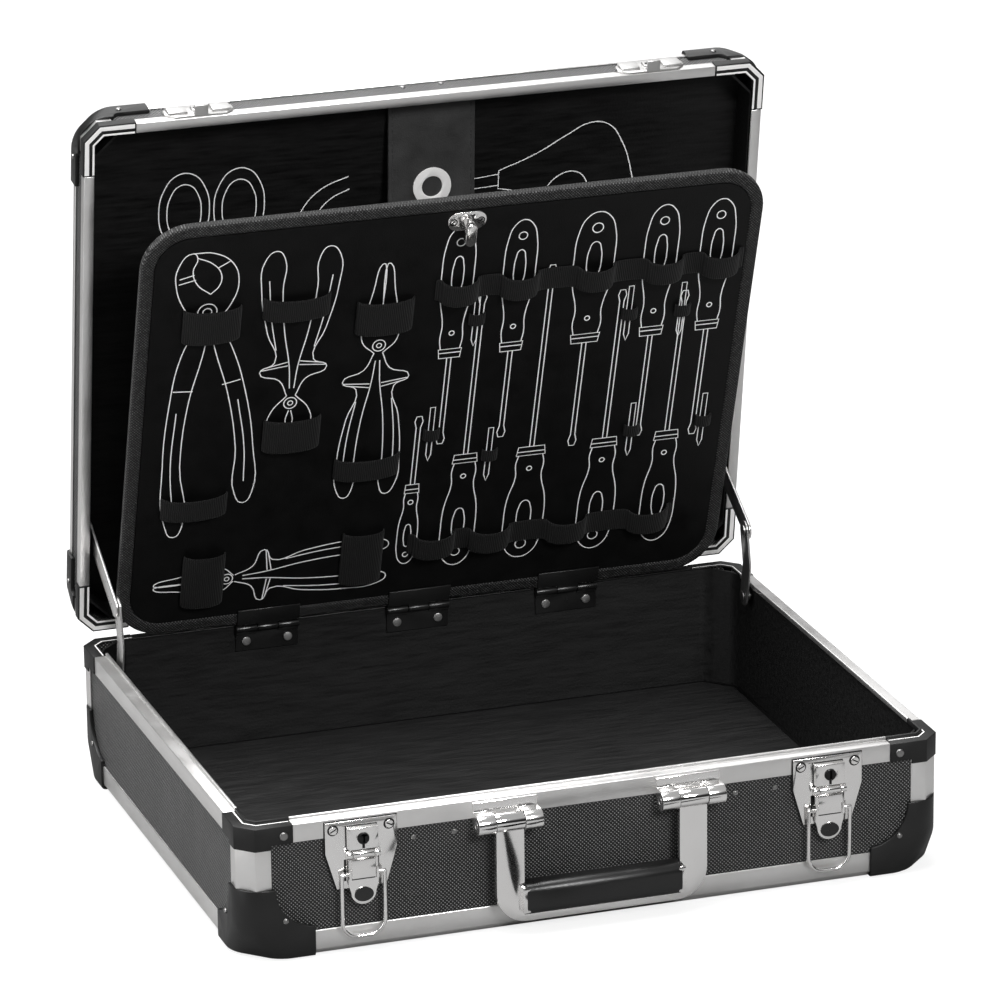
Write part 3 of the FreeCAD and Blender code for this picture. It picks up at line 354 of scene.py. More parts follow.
tree = pressed_chrome.node_tree
swell = add(tree, "ShaderNodeTexNoise", {"Vector": object_place(tree), "Scale": SWELL_SCALE, "Detail": 0.0})
swollen = bump(tree, swell.outputs["Fac"], SWELL_DEPTH)
tree.links.new(swollen, tree.nodes["Principled BSDF"].inputs["Normal"])
print("metals", satin_aluminium.name, bright_chrome.name, pressed_chrome.name, "and four more")

# %% [markdown]
# The case's panels are a charcoal laminate pressed with small pyramids in staggered rows. The tips are
# painted much paler than the valleys: a painted highlight on the tips and painted shade in the valleys.
# The pattern runs square to each panel, so each direction has its own material, and on the open lid the
# coordinates are first turned back to the closed lid.

# %% Embossed panels
HINGE = Vector((0, 0.185, 0.0883))
LID_OPEN = math.radians(81.0)
OPEN_LID = Matrix.Translation(HINGE) @ Matrix.Rotation(-LID_OPEN, 4, "X") @ Matrix.Translation(-HINGE)
PYRAMID_PITCH = 0.0025
PYRAMID_RELIEF = 0.0005
VALLEY_SHADE_GREY, TIP_HIGHLIGHT_GREY = 0.005, 0.36


def embossed(name, across, upward, on_lid):
    material, tree, shader = start_material(name)
    place = object_place(tree)
    if on_lid:
        turned = add(tree, "ShaderNodeMapping", {"Vector": place, "Rotation": (LID_OPEN, 0, 0)})
        place = turned.outputs["Vector"]
    axes = add(tree, "ShaderNodeSeparateXYZ", {"Vector": place}).outputs
    height = use_group(tree, pyramids, Across=axes[across], Up=axes[upward], Pitch=PYRAMID_PITCH)["Height"]
    dust = use_group(tree, mottle, Place=object_place(tree), Scale=18.0)["Value"]
    # Painted highlight on the pyramids' tips and painted shade in their valleys.
    tip = ramp(tree, height, 0.0, 1.0, 0.42, 0.92)
    tree.links.new(colour_mix(tree, tip, grey(VALLEY_SHADE_GREY), grey(TIP_HIGHLIGHT_GREY)), shader.inputs["Base Color"])
    tree.links.new(ramp(tree, dust, 0.34, 0.48), shader.inputs["Roughness"])
    tree.links.new(bump(tree, height, PYRAMID_RELIEF), shader.inputs["Normal"])
    return material


PANEL_LOOKS = {}
for part_name, flat_side, on_lid in (("base", "floor", False), ("lid", "top", True)):
    for sides, across, upward in ((("front", "back"), "X", "Z"),
                                  (("left", "right"), "Y", "Z"),
                                  ((flat_side,), "X", "Y")):
        look = embossed("embossed_" + part_name + "_" + sides[0], across, upward, on_lid)
        for side in sides:
            PANEL_LOOKS[part_name + "_" + side + "_panel"] = look
print("panel looks", len(PANEL_LOOKS))

# %% [markdown]
# The black pieces differ mainly in grain and gloss: moulded corners are smooth with a faint
# orange-peel, the pallet and strap are pebbled, and the grip is a satin moulding. All of them come from
# one recipe, a mottled dark grey with an uneven gloss and a fine bump.

# %% Black finishes
GLOSS_SPREAD = 0.06
BROAD_MARKS = 0.05


def dark_finish(name, greys, gloss, scale, relief, level, grained=False):
    """A black finish. Its greys are the dark and the light, and its relief is in millimetres."""
    material, tree, shader = start_material(name, Specular_IOR_Level=level)
    place = object_place(tree)
    marks = use_group(tree, mottle, Place=place, Scale=scale * BROAD_MARKS)["Value"]
    tree.links.new(colour_mix(tree, marks, grey(greys[0]), grey(greys[1])), shader.inputs["Base Color"])
    gloss_range = ramp(tree, marks, gloss - GLOSS_SPREAD, gloss + GLOSS_SPREAD)
    tree.links.new(gloss_range, shader.inputs["Roughness"])
    source = use_group(tree, grain if grained else mottle, Place=place, Scale=scale)
    tree.links.new(bump(tree, source[0], relief * MM), shader.inputs["Normal"])
    return material


moulded_black = dark_finish("moulded_black", (0.005, 0.008), gloss=0.42, scale=700.0, relief=0.03,
                            level=0.42)
rim_black = dark_finish("rim_black", (0.005, 0.009), gloss=0.5, scale=700.0, relief=0.03, level=0.35)
grip_black = dark_finish("grip_black", (0.005, 0.008), gloss=0.32, scale=500.0, relief=0.03, level=0.5)
# Black for the pallet's hinges, and a painted reflection in the levers' dish bowls.
black_and_painted_reflection = dark_finish("black_and_painted_reflection", (0.006, 0.012), gloss=0.3, scale=400.0, relief=0.03, level=0.5)
# Black for the lock faces, and painted shade for gaps, slots, holes and shadow lines.
black_and_painted_shade = dark_finish("black_and_painted_shade", (0.003, 0.005), gloss=0.4, scale=500.0, relief=0.02, level=0.3)
pallet_vinyl = dark_finish("pallet_vinyl", (0.002, 0.004), gloss=0.5, scale=1300.0, relief=0.06, level=0.2,
                           grained=True)
strap_hide = dark_finish("strap_hide", (0.026, 0.044), gloss=0.5, scale=1100.0, relief=0.12, level=0.4,
                         grained=True)
print("black finishes", moulded_black.name, pallet_vinyl.name, "and five more")

# %% [markdown]
# The lining is vinyl with long faint streaks from wiping and from the rollers that made it. The streaks
# are mottling on coordinates that are stretched along the case, over a fine grain.

# %% Linings
STREAK_STRETCH = (6.0, 60.0, 60.0)
STREAK_SCALE = 6.0
LINING_GRAIN = 700.0
LINING_RELIEF = 0.00008


def streaked_lining(name, low, high, level):
    material, tree, shader = start_material(name, Specular_IOR_Level=level)
    place = object_place(tree)
    stretched = add(tree, "ShaderNodeMapping", {"Vector": place, "Scale": STREAK_STRETCH}).outputs["Vector"]
    streak = use_group(tree, mottle, Place=stretched, Scale=STREAK_SCALE)["Value"]
    tree.links.new(colour_mix(tree, streak, grey(low), grey(high)), shader.inputs["Base Color"])
    tree.links.new(ramp(tree, streak, 0.42, 0.56), shader.inputs["Roughness"])
    fine = use_group(tree, grain, Place=place, Scale=LINING_GRAIN)["Height"]
    tree.links.new(bump(tree, fine, LINING_RELIEF), shader.inputs["Normal"])
    return material


tray_lining = streaked_lining("tray_lining", low=0.0015, high=0.009, level=0.18)
# The lid's lining is a little paler than the tray's: painted light for the reflection that it shows.
lid_lining = streaked_lining("lid_lining", low=0.0025, high=0.01, level=0.18)
mat_felt = streaked_lining("mat_felt", low=0.011, high=0.029, level=0.3)
print("linings", tray_lining.name, lid_lining.name, mat_felt.name)

# %% [markdown]
# The elastic bands are ribbed across, and the pallet's edging is a coarse braid whose raised strands
# carry pale flecks, a painted highlight. Both patterns are worked out from the place on the piece. The
# braid is first turned upright, because the pallet leans.

# %% Elastic and braided edging
RIB_PITCH = 0.0013
RIB_RELIEF = 0.00015
PALLET_LEAN = math.radians(18.5)
BRAID_PITCH = 0.0021
BRAID_RELIEF = 0.0004

elastic_weave, tree, shader = start_material("elastic_weave", Specular_IOR_Level=0.2, Sheen_Weight=0.05)
axes = add(tree, "ShaderNodeSeparateXYZ", {"Vector": object_place(tree)}).outputs
weave = use_group(tree, ribs, Along=axes["X"], Across=axes["Z"], Pitch=RIB_PITCH)["Height"]
rib_top = ramp(tree, weave, 0.0, 1.0, -1.2, 1.2)
tree.links.new(colour_mix(tree, rib_top, grey(0.002), grey(0.012)), shader.inputs["Base Color"])
tree.links.new(ramp(tree, weave, 0.75, 0.6, -1.2, 1.2), shader.inputs["Roughness"])
tree.links.new(bump(tree, weave, RIB_RELIEF), shader.inputs["Normal"])

edging_weave, tree, shader = start_material("edging_weave", Specular_IOR_Level=0.3)
upright = add(tree, "ShaderNodeMapping", {"Vector": object_place(tree), "Rotation": (-PALLET_LEAN, 0, 0)})
axes = add(tree, "ShaderNodeSeparateXYZ", {"Vector": upright.outputs["Vector"]}).outputs
braid = use_group(tree, pyramids, Across=axes["X"], Up=axes["Z"], Pitch=BRAID_PITCH)["Height"]
flecks = use_group(tree, mottle, Place=object_place(tree), Scale=420.0)["Value"]
# Pale flecks on the braid's raised strands: a painted highlight.
braid_highlight = math_node(tree, "MULTIPLY", ramp(tree, braid, 0.0, 1.0, 0.2, 0.9), flecks)
tree.links.new(colour_mix(tree, braid_highlight, grey(0.004), grey(0.17)), shader.inputs["Base Color"])
tree.links.new(ramp(tree, flecks, 0.5, 0.72), shader.inputs["Roughness"])
tree.links.new(bump(tree, braid, BRAID_RELIEF), shader.inputs["Normal"])
print("woven finishes", elastic_weave.name, edging_weave.name)

# %% [markdown]
# White ink and grey thread are thin, so they need little: a matt colour that varies a bit over the
# surface.


# %% Ink and thread
def matt_finish(name, level, scale, low, high, gloss_low, gloss_high):
    material, tree, shader = start_material(name, Specular_IOR_Level=level)
    patches = use_group(tree, mottle, Place=object_place(tree), Scale=scale)["Value"]
    tree.links.new(colour_mix(tree, patches, grey(low), grey(high)), shader.inputs["Base Color"])
    tree.links.new(ramp(tree, patches, gloss_low, gloss_high), shader.inputs["Roughness"])
    return material


print_white = matt_finish("print_white", 0.2, 240.0, low=0.9, high=0.98, gloss_low=0.55, gloss_high=0.7)
thread_grey = matt_finish("thread_grey", 0.25, 900.0, low=0.02, high=0.06, gloss_low=0.6, gloss_high=0.8)
print("thin finishes", print_white.name, thread_grey.name)

# %% [markdown]
# Modelling by hand is a round of selecting, editing and applying. These helpers do those rounds: pick
# one piece, apply a modifier to it, shade it smooth, bevel the edges that a test picks, and settle the
# finished piece on its body.


# %% Piece helpers
def pick_only(*objects):
    bpy.ops.object.select_all(action="DESELECT")
    for thing in objects:
        thing.select_set(True)
    bpy.context.view_layer.objects.active = objects[0]


def apply_modifier(piece, kind, **settings):
    pick_only(piece)
    modifier = piece.modifiers.new(kind.lower(), kind)
    for key, value in settings.items():
        setattr(modifier, key, value)
    bpy.ops.object.modifier_apply(modifier=modifier.name)


def smooth_by_angle(piece, degrees=35.0):
    pick_only(piece)
    bpy.ops.object.shade_smooth_by_angle(angle=math.radians(degrees))


def settle(piece, material, body, slot, *nodes):
    """Give a finished piece its material and its body, and hide the nodes that it stands for. Its slot is
    not used.
    """
    piece.data.materials.clear()
    piece.data.materials.append(material)
    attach(piece, body)
    if nodes:
        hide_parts(*nodes)
    return piece


def bevel_edges(piece, wanted, width, segments):
    """Round the edges between two faces that the test wanted(edge, face, other) picks."""
    pick_only(piece)
    bpy.ops.object.mode_set(mode="EDIT")
    bpy.ops.mesh.select_mode(type="EDGE")
    bpy.ops.mesh.select_all(action="DESELECT")
    bpy.ops.object.mode_set(mode="OBJECT")
    faces_at = {}
    for face in piece.data.polygons:
        for key in face.edge_keys:
            faces_at.setdefault(key, []).append(face)
    for edge in piece.data.edges:
        sides = faces_at.get(edge.key, [])
        edge.select = len(sides) == 2 and wanted(edge, *sides)
    bpy.ops.object.mode_set(mode="EDIT")
    bpy.ops.mesh.bevel(offset=width * MM, segments=segments, clamp_overlap=False)
    bpy.ops.object.mode_set(mode="OBJECT")


# %% [markdown]
# The moulded corner guards are generously round outside, and the vinyl lining goes round the tray's
# upright corners in a soft curve. An edge's two faces tell which edges these are: on a guard both look
# away from the case, and in the tray both look inward.

# %% Softer guards and lining
HALF_WIDTH = 230.0
HALF_DEPTH = 181.0
BASE_HEIGHT = 88.0
LID_DEPTH = 29.0
GUARD_ROUND = 3.0
GUARD_SWEEP = 7.0
LINER_ROUND = 6.0
LEAST_OUTWARD = 0.3
LEAST_CORNER = 20.0


def soften_guards(piece, on_lid):
    """Round the guards' outer edges, which are those between two faces that look away from the case."""
    home = OPEN_LID.inverted() if on_lid else Matrix()
    reach = LID_DEPTH if on_lid else BASE_HEIGHT

    def outward(face):
        centre = (home @ face.center) / MM
        share = Vector((centre.x / HALF_WIDTH, centre.y / HALF_DEPTH, (centre.z - BASE_HEIGHT) / reach))
        return (home.to_3x3() @ face.normal).dot(share) > LEAST_OUTWARD

    def between(low, high):
        def wanted(edge, face, other):
            turn = math.degrees(face.normal.angle(other.normal))
            return outward(face) and outward(other) and low < turn < high
        return wanted

    bevel_edges(piece, between(15, 60), GUARD_SWEEP, 5)
    bevel_edges(piece, between(60, 120), GUARD_ROUND, 4)


def soften_liner(piece):
    """Round the liner's upright inner corners."""
    def inward(face):
        return abs(face.normal.z) < 0.1 and face.normal.xy.dot(face.center.xy) < 0

    def wanted(edge, face, other):
        low, high = [piece.data.vertices[index].co for index in edge.vertices]
        upright = abs(high.z - low.z) > LEAST_CORNER * MM and (high - low).xy.length < 0.1 * MM
        return upright and inward(face) and inward(other)

    bevel_edges(piece, wanted, LINER_ROUND, 6)


SHAPED = {"base_corner_guards": lambda piece: soften_guards(piece, False),
          "lid_corner_guards": lambda piece: soften_guards(piece, True),
          "base_liner": soften_liner}
print("pieces with a softer shape", len(SHAPED))

# %% [markdown]
# CAD edges are perfectly sharp, and a real edge catches the light because it is slightly round. Each
# hard piece is therefore copied, its loose triangles are merged back into flat faces, and a narrow
# bevel is applied. The copy then stands for the CAD node. The table gives each finish, the bevel's
# width in millimetres and the pieces.

# %% Rounded copies of the hard pieces
MERGE_REACH = 0.000005
FLAT_ANGLE = math.radians(0.5)
SHARP_ANGLE = math.radians(32)
WIDE_BEVEL = 1.0


def rounded_copy(node, width, material):
    pick_only(frame["nodes"][node])
    bpy.ops.object.duplicate()
    piece = bpy.context.view_layer.objects.active
    piece.name = node + "_finished"
    piece.parent = None
    for key in list(piece.keys()):
        del piece[key]
    pick_only(piece)
    bpy.ops.object.mode_set(mode="EDIT")
    bpy.ops.mesh.select_all(action="SELECT")
    bpy.ops.mesh.remove_doubles(threshold=MERGE_REACH)
    bpy.ops.mesh.dissolve_limited(angle_limit=FLAT_ANGLE)
    bpy.ops.object.mode_set(mode="OBJECT")
    if node in SHAPED:
        SHAPED[node](piece)
    segments = 3 if width >= WIDE_BEVEL else 2
    apply_modifier(piece, "BEVEL", width=width * MM, segments=segments, limit_method="ANGLE",
                   angle_limit=SHARP_ANGLE, use_clamp_overlap=True, harden_normals=False)
    smooth_by_angle(piece)
    settle(piece, material, BODY_OF[node], SLOT_OF[node], node)


ROUNDED = [
    (satin_aluminium, 0.45, ("base_rim", "lid_rim")),
    (satin_aluminium, 0.6, ("base_edge_trim", "lid_edge_trim")),
    (satin_aluminium, 0.3, ("base_corner_posts", "lid_corner_posts")),
    (moulded_black, 0.4, ("base_corner_guards", "lid_corner_guards")),
    (rim_black, 0.5, ("base_rim_corners", "lid_rim_corners")),
    (moulded_black, 0.5, ("base_hinge_rail", "lid_hinge_rail")),
    (rivet_steel, 0.45, ("base_rivets", "lid_rivets")),
    (stay_steel, 0.3, ("lid_hinge_base_leaf", "lid_hinge_leaf", "lid_hinge_pin")),
    (catch_steel, 0.45, ("lid_catches",)),
    (bright_chrome, 0.45, ("latch_plates", "turn_lock_plate")),
    (pressed_chrome, 1.1, ("handle_frame",)),
    (bright_chrome, 1.1, ("handle_brackets",)),
    (bright_chrome, 0.35, ("latch_lever_left", "latch_lever_right", "latch_bail_left", "latch_bail_right",
                           "handle_pins")),
    (bright_chrome, 1.2, ("turn_lock_knob",)),
    (black_and_painted_shade, 0.3, ("lock_cylinder_left", "lock_cylinder_right")),
    (stay_steel, 0.35, ("stay_lower_link_left", "stay_lower_link_right", "stay_upper_link_left",
                        "stay_upper_link_right")),
    (black_and_painted_reflection, 0.3, ("pallet_hinge_base_leaves", "pallet_hinge_leaves", "pallet_hinge_pins")),
    # The eyelet's pale matt finish is a painted reflection of its metal.
    (painted_pale_metal, 0.35, ("strap_eyelet",)),
    (catch_steel, 0.35, ("pallet_hinge_screws",)),
    (edging_weave, 2.0, ("pallet_edging",)),
    (tray_lining, 0.3, ("base_liner",)),
    (grip_black, 0.8, ("handle_grip",)),
]
for finish, width, names in ROUNDED:
    for name in names:
        rounded_copy(name, width, finish)
print("rounded copies", sum(len(names) for _, _, names in ROUNDED))

# %% [markdown]
# Flat panels, the lid's lining and the board are already right in shape, so they keep their CAD meshes
# and only take a finish.

# %% Finishes on the remaining CAD pieces
KEPT = {"lid_liner": lid_lining, "pallet_board": pallet_vinyl, **PANEL_LOOKS}
for name, finish in KEPT.items():
    kept = frame["nodes"][name]
    kept.data.materials.clear()
    kept.data.materials.append(finish)
print("kept CAD pieces", len(KEPT))

# %% [markdown]
# The elastic bands are sewn to the pallet and bulge out into loops for the tools. They could be
# simulated as cloth, but such narrow straps keep a simple form. Each band starts as a flat grid, its
# columns are moved on to a path seen from the band's edge, and it then gets a thickness and one
# subdivision, so that its edges are soft. Empty loops hang a little, so the middle of each is lower and
# stands out further above.

# %% Band helpers
PALLET_PIN = Vector((0, 0.1704, 0.086))
ON_PALLET = Matrix.Translation(PALLET_PIN) @ Matrix.Rotation(PALLET_LEAN, 4, "X")
BOARD_FACE = 0.6
BAND_WALL = 1.5
BAND_SINK = 0.85
BAND_LIE = BOARD_FACE - BAND_SINK
BAND_ROWS = 6
LOOP_STEPS = 14
LOOP_INSET = 0.9
LOOP_FULLNESS = 0.85
LOOP_LEAN = 0.12


def loop_path(centre, width, bulge):
    """Points (x, outward, share of the loop) over one loop, feet included."""
    points = []
    half = width / 2 - LOOP_INSET
    for step in range(LOOP_STEPS + 1):
        angle = math.pi * step / LOOP_STEPS
        rise = math.sin(angle) ** LOOP_FULLNESS
        points.append((centre - half * math.cos(angle), BAND_LIE - (bulge - BAND_WALL) * rise, rise))
    return points


def band_piece(name, path, low, height, sag):
    bpy.ops.object.select_all(action="DESELECT")
    bpy.ops.mesh.primitive_grid_add(x_subdivisions=len(path) - 1, y_subdivisions=BAND_ROWS, size=1.0)
    band = bpy.context.view_layer.objects.active
    band.name = name
    for vertex in band.data.vertices:
        column = round((vertex.co.x + 0.5) * (len(path) - 1))
        row = vertex.co.y + 0.5
        x, out, rise = path[column]
        lean = 1.0 + LOOP_LEAN * (row - 0.5) * rise
        outward = BAND_LIE + (out - BAND_LIE) * lean
        vertex.co = Vector((x, outward, low + row * height - sag * rise)) * MM
    apply_modifier(band, "SOLIDIFY", thickness=BAND_WALL * MM, offset=0.0)
    apply_modifier(band, "SUBSURF", levels=1, render_levels=1)
    return band


def join_pieces(name, pieces):
    """Join pieces into the first of them and name it."""
    pick_only(*pieces)
    if len(pieces) > 1:
        bpy.ops.object.join()
    pieces[0].name = name
    return pieces[0]


def finish_bands(name, bands):
    bands = join_pieces(name, bands)
    bands.data.transform(ON_PALLET)
    bpy.ops.object.mode_set(mode="EDIT")
    bpy.ops.mesh.select_all(action="SELECT")
    bpy.ops.mesh.normals_make_consistent(inside=False)
    bpy.ops.object.mode_set(mode="OBJECT")
    smooth_by_angle(bands, 50)
    settle(bands, elastic_weave, "pallet", "elastic", "pallet_" + name)
    print(name, len(bands.data.polygons), "faces")


# %% [markdown]
# Two long bands run across the right half of the pallet in waves, one loop for each screwdriver. Their
# loops sit at given shares of the board's half width, sewn down between the loops and at both
# ends.

# %% Wavy elastic bands
PALLET_HALF = 210.0
PALLET_FOOT = 4.0
PALLET_HEIGHT = 323.0
EDGING = 9.0
WAVY_HEIGHT = 17.0
WAVY_BULGE = 9.0
WAVY_SAG = 2.2
END_SHARE = 0.6
UPPER_DROP = 60.0
UPPER_LOW = PALLET_FOOT + PALLET_HEIGHT - UPPER_DROP - WAVY_HEIGHT
LOWER_LOW = 46.0
UPPER_SHARES = (0.023, 0.245, 0.526, 0.783, 0.995)
LOWER_SHARES = (0.028, 0.24, 0.535, 0.85)


def wavy_band(name, shares, width, low):
    end = width * END_SHARE
    centres = [share * (PALLET_HALF - EDGING - end) for share in shares]
    path = [(centres[0] - end, BAND_LIE, 0.0)]
    for centre in centres:
        path += loop_path(centre, width, WAVY_BULGE)
    path.append((centres[-1] + end, BAND_LIE, 0.0))
    finish_bands(name, [band_piece(name, path, low, WAVY_HEIGHT, WAVY_SAG)])


wavy_band("upper_elastic", UPPER_SHARES, width=27.0, low=UPPER_LOW)
wavy_band("lower_elastic", LOWER_SHARES, width=30.0, low=LOWER_LOW)

# %% [markdown]
# The pliers and bits are held by single loops: wide wraps and small bands round the pliers' handles and
# jaws, two upright bands for the pliers that lie across, and narrow loops for bits. Each place is a
# share of the pallet's half width and of its height.

# %% Single elastic loops
WRAPS = ((-0.767, 0.768), (-0.213, 0.744), (-0.481, 0.479))
SMALL_LOOPS = ((-0.5, 0.791), (-0.225, 0.375), (-0.778, 0.324))
UPRIGHTS = ((-0.729, 0.133), (-0.211, 0.143))
BIT_LOOPS = ((0.089, 0.71), (0.594, 0.682), (0.77, 0.677), (-0.02, 0.434), (0.181, 0.366), (0.651, 0.387),
             (0.891, 0.391))


def single_loops(shares, width, bulge, height, sag):
    made = []
    for x_share, h_share in shares:
        low = PALLET_FOOT + h_share * PALLET_HEIGHT - height / 2
        path = loop_path(x_share * PALLET_HALF, width, bulge)
        made.append(band_piece("loop", path, low, height, sag))
    return made


finish_bands("plier_elastics", single_loops(WRAPS, width=40.0, bulge=7.0, height=26.0, sag=1.0))
finish_bands("small_elastics", single_loops(SMALL_LOOPS, width=46.0, bulge=7.0, height=17.0, sag=2.0)
             + single_loops(UPRIGHTS, width=30.0, bulge=7.0, height=42.0, sag=0.6)
             + single_loops(BIT_LOOPS, width=12.0, bulge=4.6, height=9.0, sag=0.4))

# %% [markdown]
# The strap in the lid is a doubled strip of leatherette that comes off the lid's front wall, bends and
# runs under the lid's roof. A turn lock on the pallet goes through its eyelet. A grid follows that line
# with a soft bend, and then gets a thickness and rounded edges. The eyelet is a ring of its own on top,
# so the strap itself needs no hole.

# %% Line of the strap
LID_TOP = 117.6
LID_ROOF_WALL = 4.0
LINER_WALL = 1.5
LINER_FACE = 7.7
LINING_ROOF = LID_TOP - LID_ROOF_WALL - LINER_WALL
STRAP_GAP = 1.2
STRAP_FRONT = -HALF_DEPTH + LINER_FACE
STRAP_ROOF = LINING_ROOF - STRAP_GAP
STRAP_WALL = 2.2
STRAP_LENGTH = 86.0
STRAP_FALL = 9.0
STRAP_SLOPE = math.atan2(STRAP_FALL, STRAP_LENGTH)
STRAP_TAB = 14.0
STRAP_BEND = 4.0
STRAP_BEND_RUN = 6.0


def strap_line(share):
    """A point (y, z) along the strap's middle, closed lid, from the tab's end to the free end."""
    tab_run = STRAP_TAB - STRAP_BEND
    run = share * (tab_run + STRAP_BEND_RUN + STRAP_LENGTH - STRAP_BEND)
    start_y = STRAP_FRONT + STRAP_WALL / 2
    top_z = STRAP_ROOF - STRAP_WALL / 2
    if run <= tab_run:
        return start_y, top_z - STRAP_TAB + run
    corner_z = top_z - STRAP_TAB + tab_run
    end_y, end_z = start_y + STRAP_BEND, top_z - math.tan(STRAP_SLOPE) * STRAP_BEND
    if run <= tab_run + STRAP_BEND_RUN:
        part = (run - tab_run) / STRAP_BEND_RUN
        first, middle, last = (1 - part) ** 2, 2 * part * (1 - part), part ** 2
        return (first * start_y + middle * start_y + last * end_y,
                first * corner_z + middle * top_z + last * end_z)
    rest = run - tab_run - STRAP_BEND_RUN
    return end_y + rest * math.cos(STRAP_SLOPE), end_z - rest * math.sin(STRAP_SLOPE)


print("strap slopes by", round(math.degrees(STRAP_SLOPE), 1), "degrees")

# %% Strap
STRAP_HALF = 30.0
STRAP_INSET = 0.4
STRAP_OFFSET = 8.0
STRAP_STEPS = 40
STRAP_COLUMNS = 12
STRAP_ROUND = 0.7

bpy.ops.object.select_all(action="DESELECT")
bpy.ops.mesh.primitive_grid_add(x_subdivisions=STRAP_COLUMNS, y_subdivisions=STRAP_STEPS, size=1.0)
strap = bpy.context.view_layer.objects.active
strap.name = "lid_strap_finished"
for vertex in strap.data.vertices:
    y, z = strap_line(vertex.co.y + 0.5)
    vertex.co = Vector((STRAP_OFFSET + vertex.co.x * 2 * (STRAP_HALF - STRAP_INSET), y, z)) * MM
apply_modifier(strap, "SOLIDIFY", thickness=STRAP_WALL * MM, offset=0.0)
apply_modifier(strap, "BEVEL", width=STRAP_ROUND * MM, segments=2, limit_method="ANGLE",
               angle_limit=math.radians(50))
strap.data.transform(OPEN_LID)
smooth_by_angle(strap, 40)
settle(strap, strap_hide, "lid", "strap_leather", "lid_strap")
print("strap", len(strap.data.polygons), "faces")

# %% [markdown]
# Thin flat lines are needed in several places: the white prints, the thread of the strap, the bright
# strips in the rim corners. They could be painted in a material, but real ink and thread stand a hair
# proud. Each is a drawn curve with a round section, made a mesh and pressed nearly flat, then carried
# to the face that it lies on. The drawing sheet's own axes are across and up.


# %% Drawing helpers
def flat_lines(name, strokes, half_width, thickness, place, material, body, slot):
    """Draw strokes of (points, closed, smooth) on a sheet and carry the sheet to its place."""
    drawing = bpy.data.curves.new(name, "CURVE")
    drawing.dimensions = "3D"
    drawing.bevel_depth = half_width * MM
    drawing.bevel_resolution = 0
    drawing.resolution_u = 5
    drawing.use_fill_caps = True
    for points, closed, smooth in strokes:
        spline = drawing.splines.new("BEZIER")
        spline.bezier_points.add(len(points) - 1)
        spline.use_cyclic_u = closed
        for knot, (across, height) in zip(spline.bezier_points, points):
            knot.co = Vector((across, 0, height)) * MM
            knot.handle_left_type = knot.handle_right_type = "AUTO" if smooth else "VECTOR"
    piece = bpy.data.objects.new(name, drawing)
    bpy.context.scene.collection.objects.link(piece)
    pick_only(piece)
    bpy.ops.object.convert(target="MESH")
    piece = bpy.context.view_layer.objects.active
    piece.data.transform(place @ Matrix.Diagonal((1, thickness / (2 * half_width), 1, 1)))
    smooth_by_angle(piece, 60)
    settle(piece, material, body, slot)
    print(name, len(strokes), "strokes,", len(piece.data.polygons), "faces")


def curved(*points, closed=False):
    return list(points), closed, True


def straight(*points, closed=False):
    return list(points), closed, False


def ring(x, y, radius_x, radius_y=None, steps=10):
    radius_y = radius_x if radius_y is None else radius_y
    turns = [math.tau * step / steps for step in range(steps)]
    points = [(x + radius_x * math.cos(turn), y + radius_y * math.sin(turn)) for turn in turns]
    return curved(*points, closed=True)


def moved(strokes, x, y, degrees=0.0, scale=1.0, mirror=1.0):
    turn = math.radians(degrees)
    out = []
    for points, closed, smooth in strokes:
        placed = []
        for px, py in points:
            px, py = px * scale * mirror, py * scale
            placed.append((x + px * math.cos(turn) - py * math.sin(turn),
                           y + px * math.sin(turn) + py * math.cos(turn)))
        out.append((placed, closed, smooth))
    return out


# %% [markdown]
# The prints show which tool goes where. They are plain workshop tools of no maker, drawn here from
# scratch: a screwdriver is a bulged handle, a collar and a blade. Only one side is written down, as
# shares of the handle's half width and length, and the other side is its mirror image.

# %% Screwdriver outline
HANDLE_SHARES = ((0.6, 0.0), (0.7, 0.08), (0.64, 0.2), (0.94, 0.42), (1.0, 0.62), (0.9, 0.84), (0.55, 0.96))
COLLAR_SHARE = 0.72
COLLAR_HEIGHT = 7
COLLAR_LINE = 3
BLADE_HALF = 1.5
BLADE_TIP = ((1.5, 9), (2.8, 4), (1.7, 0))


def screwdriver(length, handle, half):
    """A screwdriver standing on its tip at height zero, handle upward."""
    neck = length - handle
    foot = neck - COLLAR_HEIGHT
    right = [(half * share, neck + handle * rise) for share, rise in HANDLE_SHARES]
    left = [(-x, y) for x, y in reversed(right)]
    collar = half * COLLAR_SHARE
    line = neck - COLLAR_LINE
    blade = [(BLADE_HALF, foot), *BLADE_TIP]
    return [curved(*right, (0, length), *left),
            straight((-collar, neck), (collar, neck), (collar * 0.9, foot), (-collar * 0.9, foot),
                     closed=True),
            straight((-collar * 0.95, line), (collar * 0.95, line)),
            ring(0, neck + handle * 0.13, 1.7),
            ring(0, neck + handle * 0.6, half * 0.36, handle * 0.16),
            ring(0, neck + handle * 0.87, half * 0.26),
            straight(*[(-x, y) for x, y in blade], *reversed(blade))]


print("screwdriver", len(screwdriver(172, 96, 11)), "strokes")

# %% [markdown]
# Pliers are one half drawn once and mirrored: a handle with a flared guard, a line along the grip and a
# jaw. The jaw is given from outside, so that the same half serves cutters and long-nosed pliers. The
# water-pump pliers are not symmetrical, and are drawn whole.

# %% Pliers outlines
PLIER_GRIP = ((-3, -6), (-9, -19), (-23, -27), (-13, -34), (-17, -58), (-19, -92), (-17, -116), (-12, -123),
              (-8, -116), (-8.5, -92), (-7, -58), (-3, -30), (-1.5, -12))
GRIP_LINE = ((-12, -44), (-14.5, -70), (-15, -100))
SPLAY_START, SPLAY_RUN = 30, 80


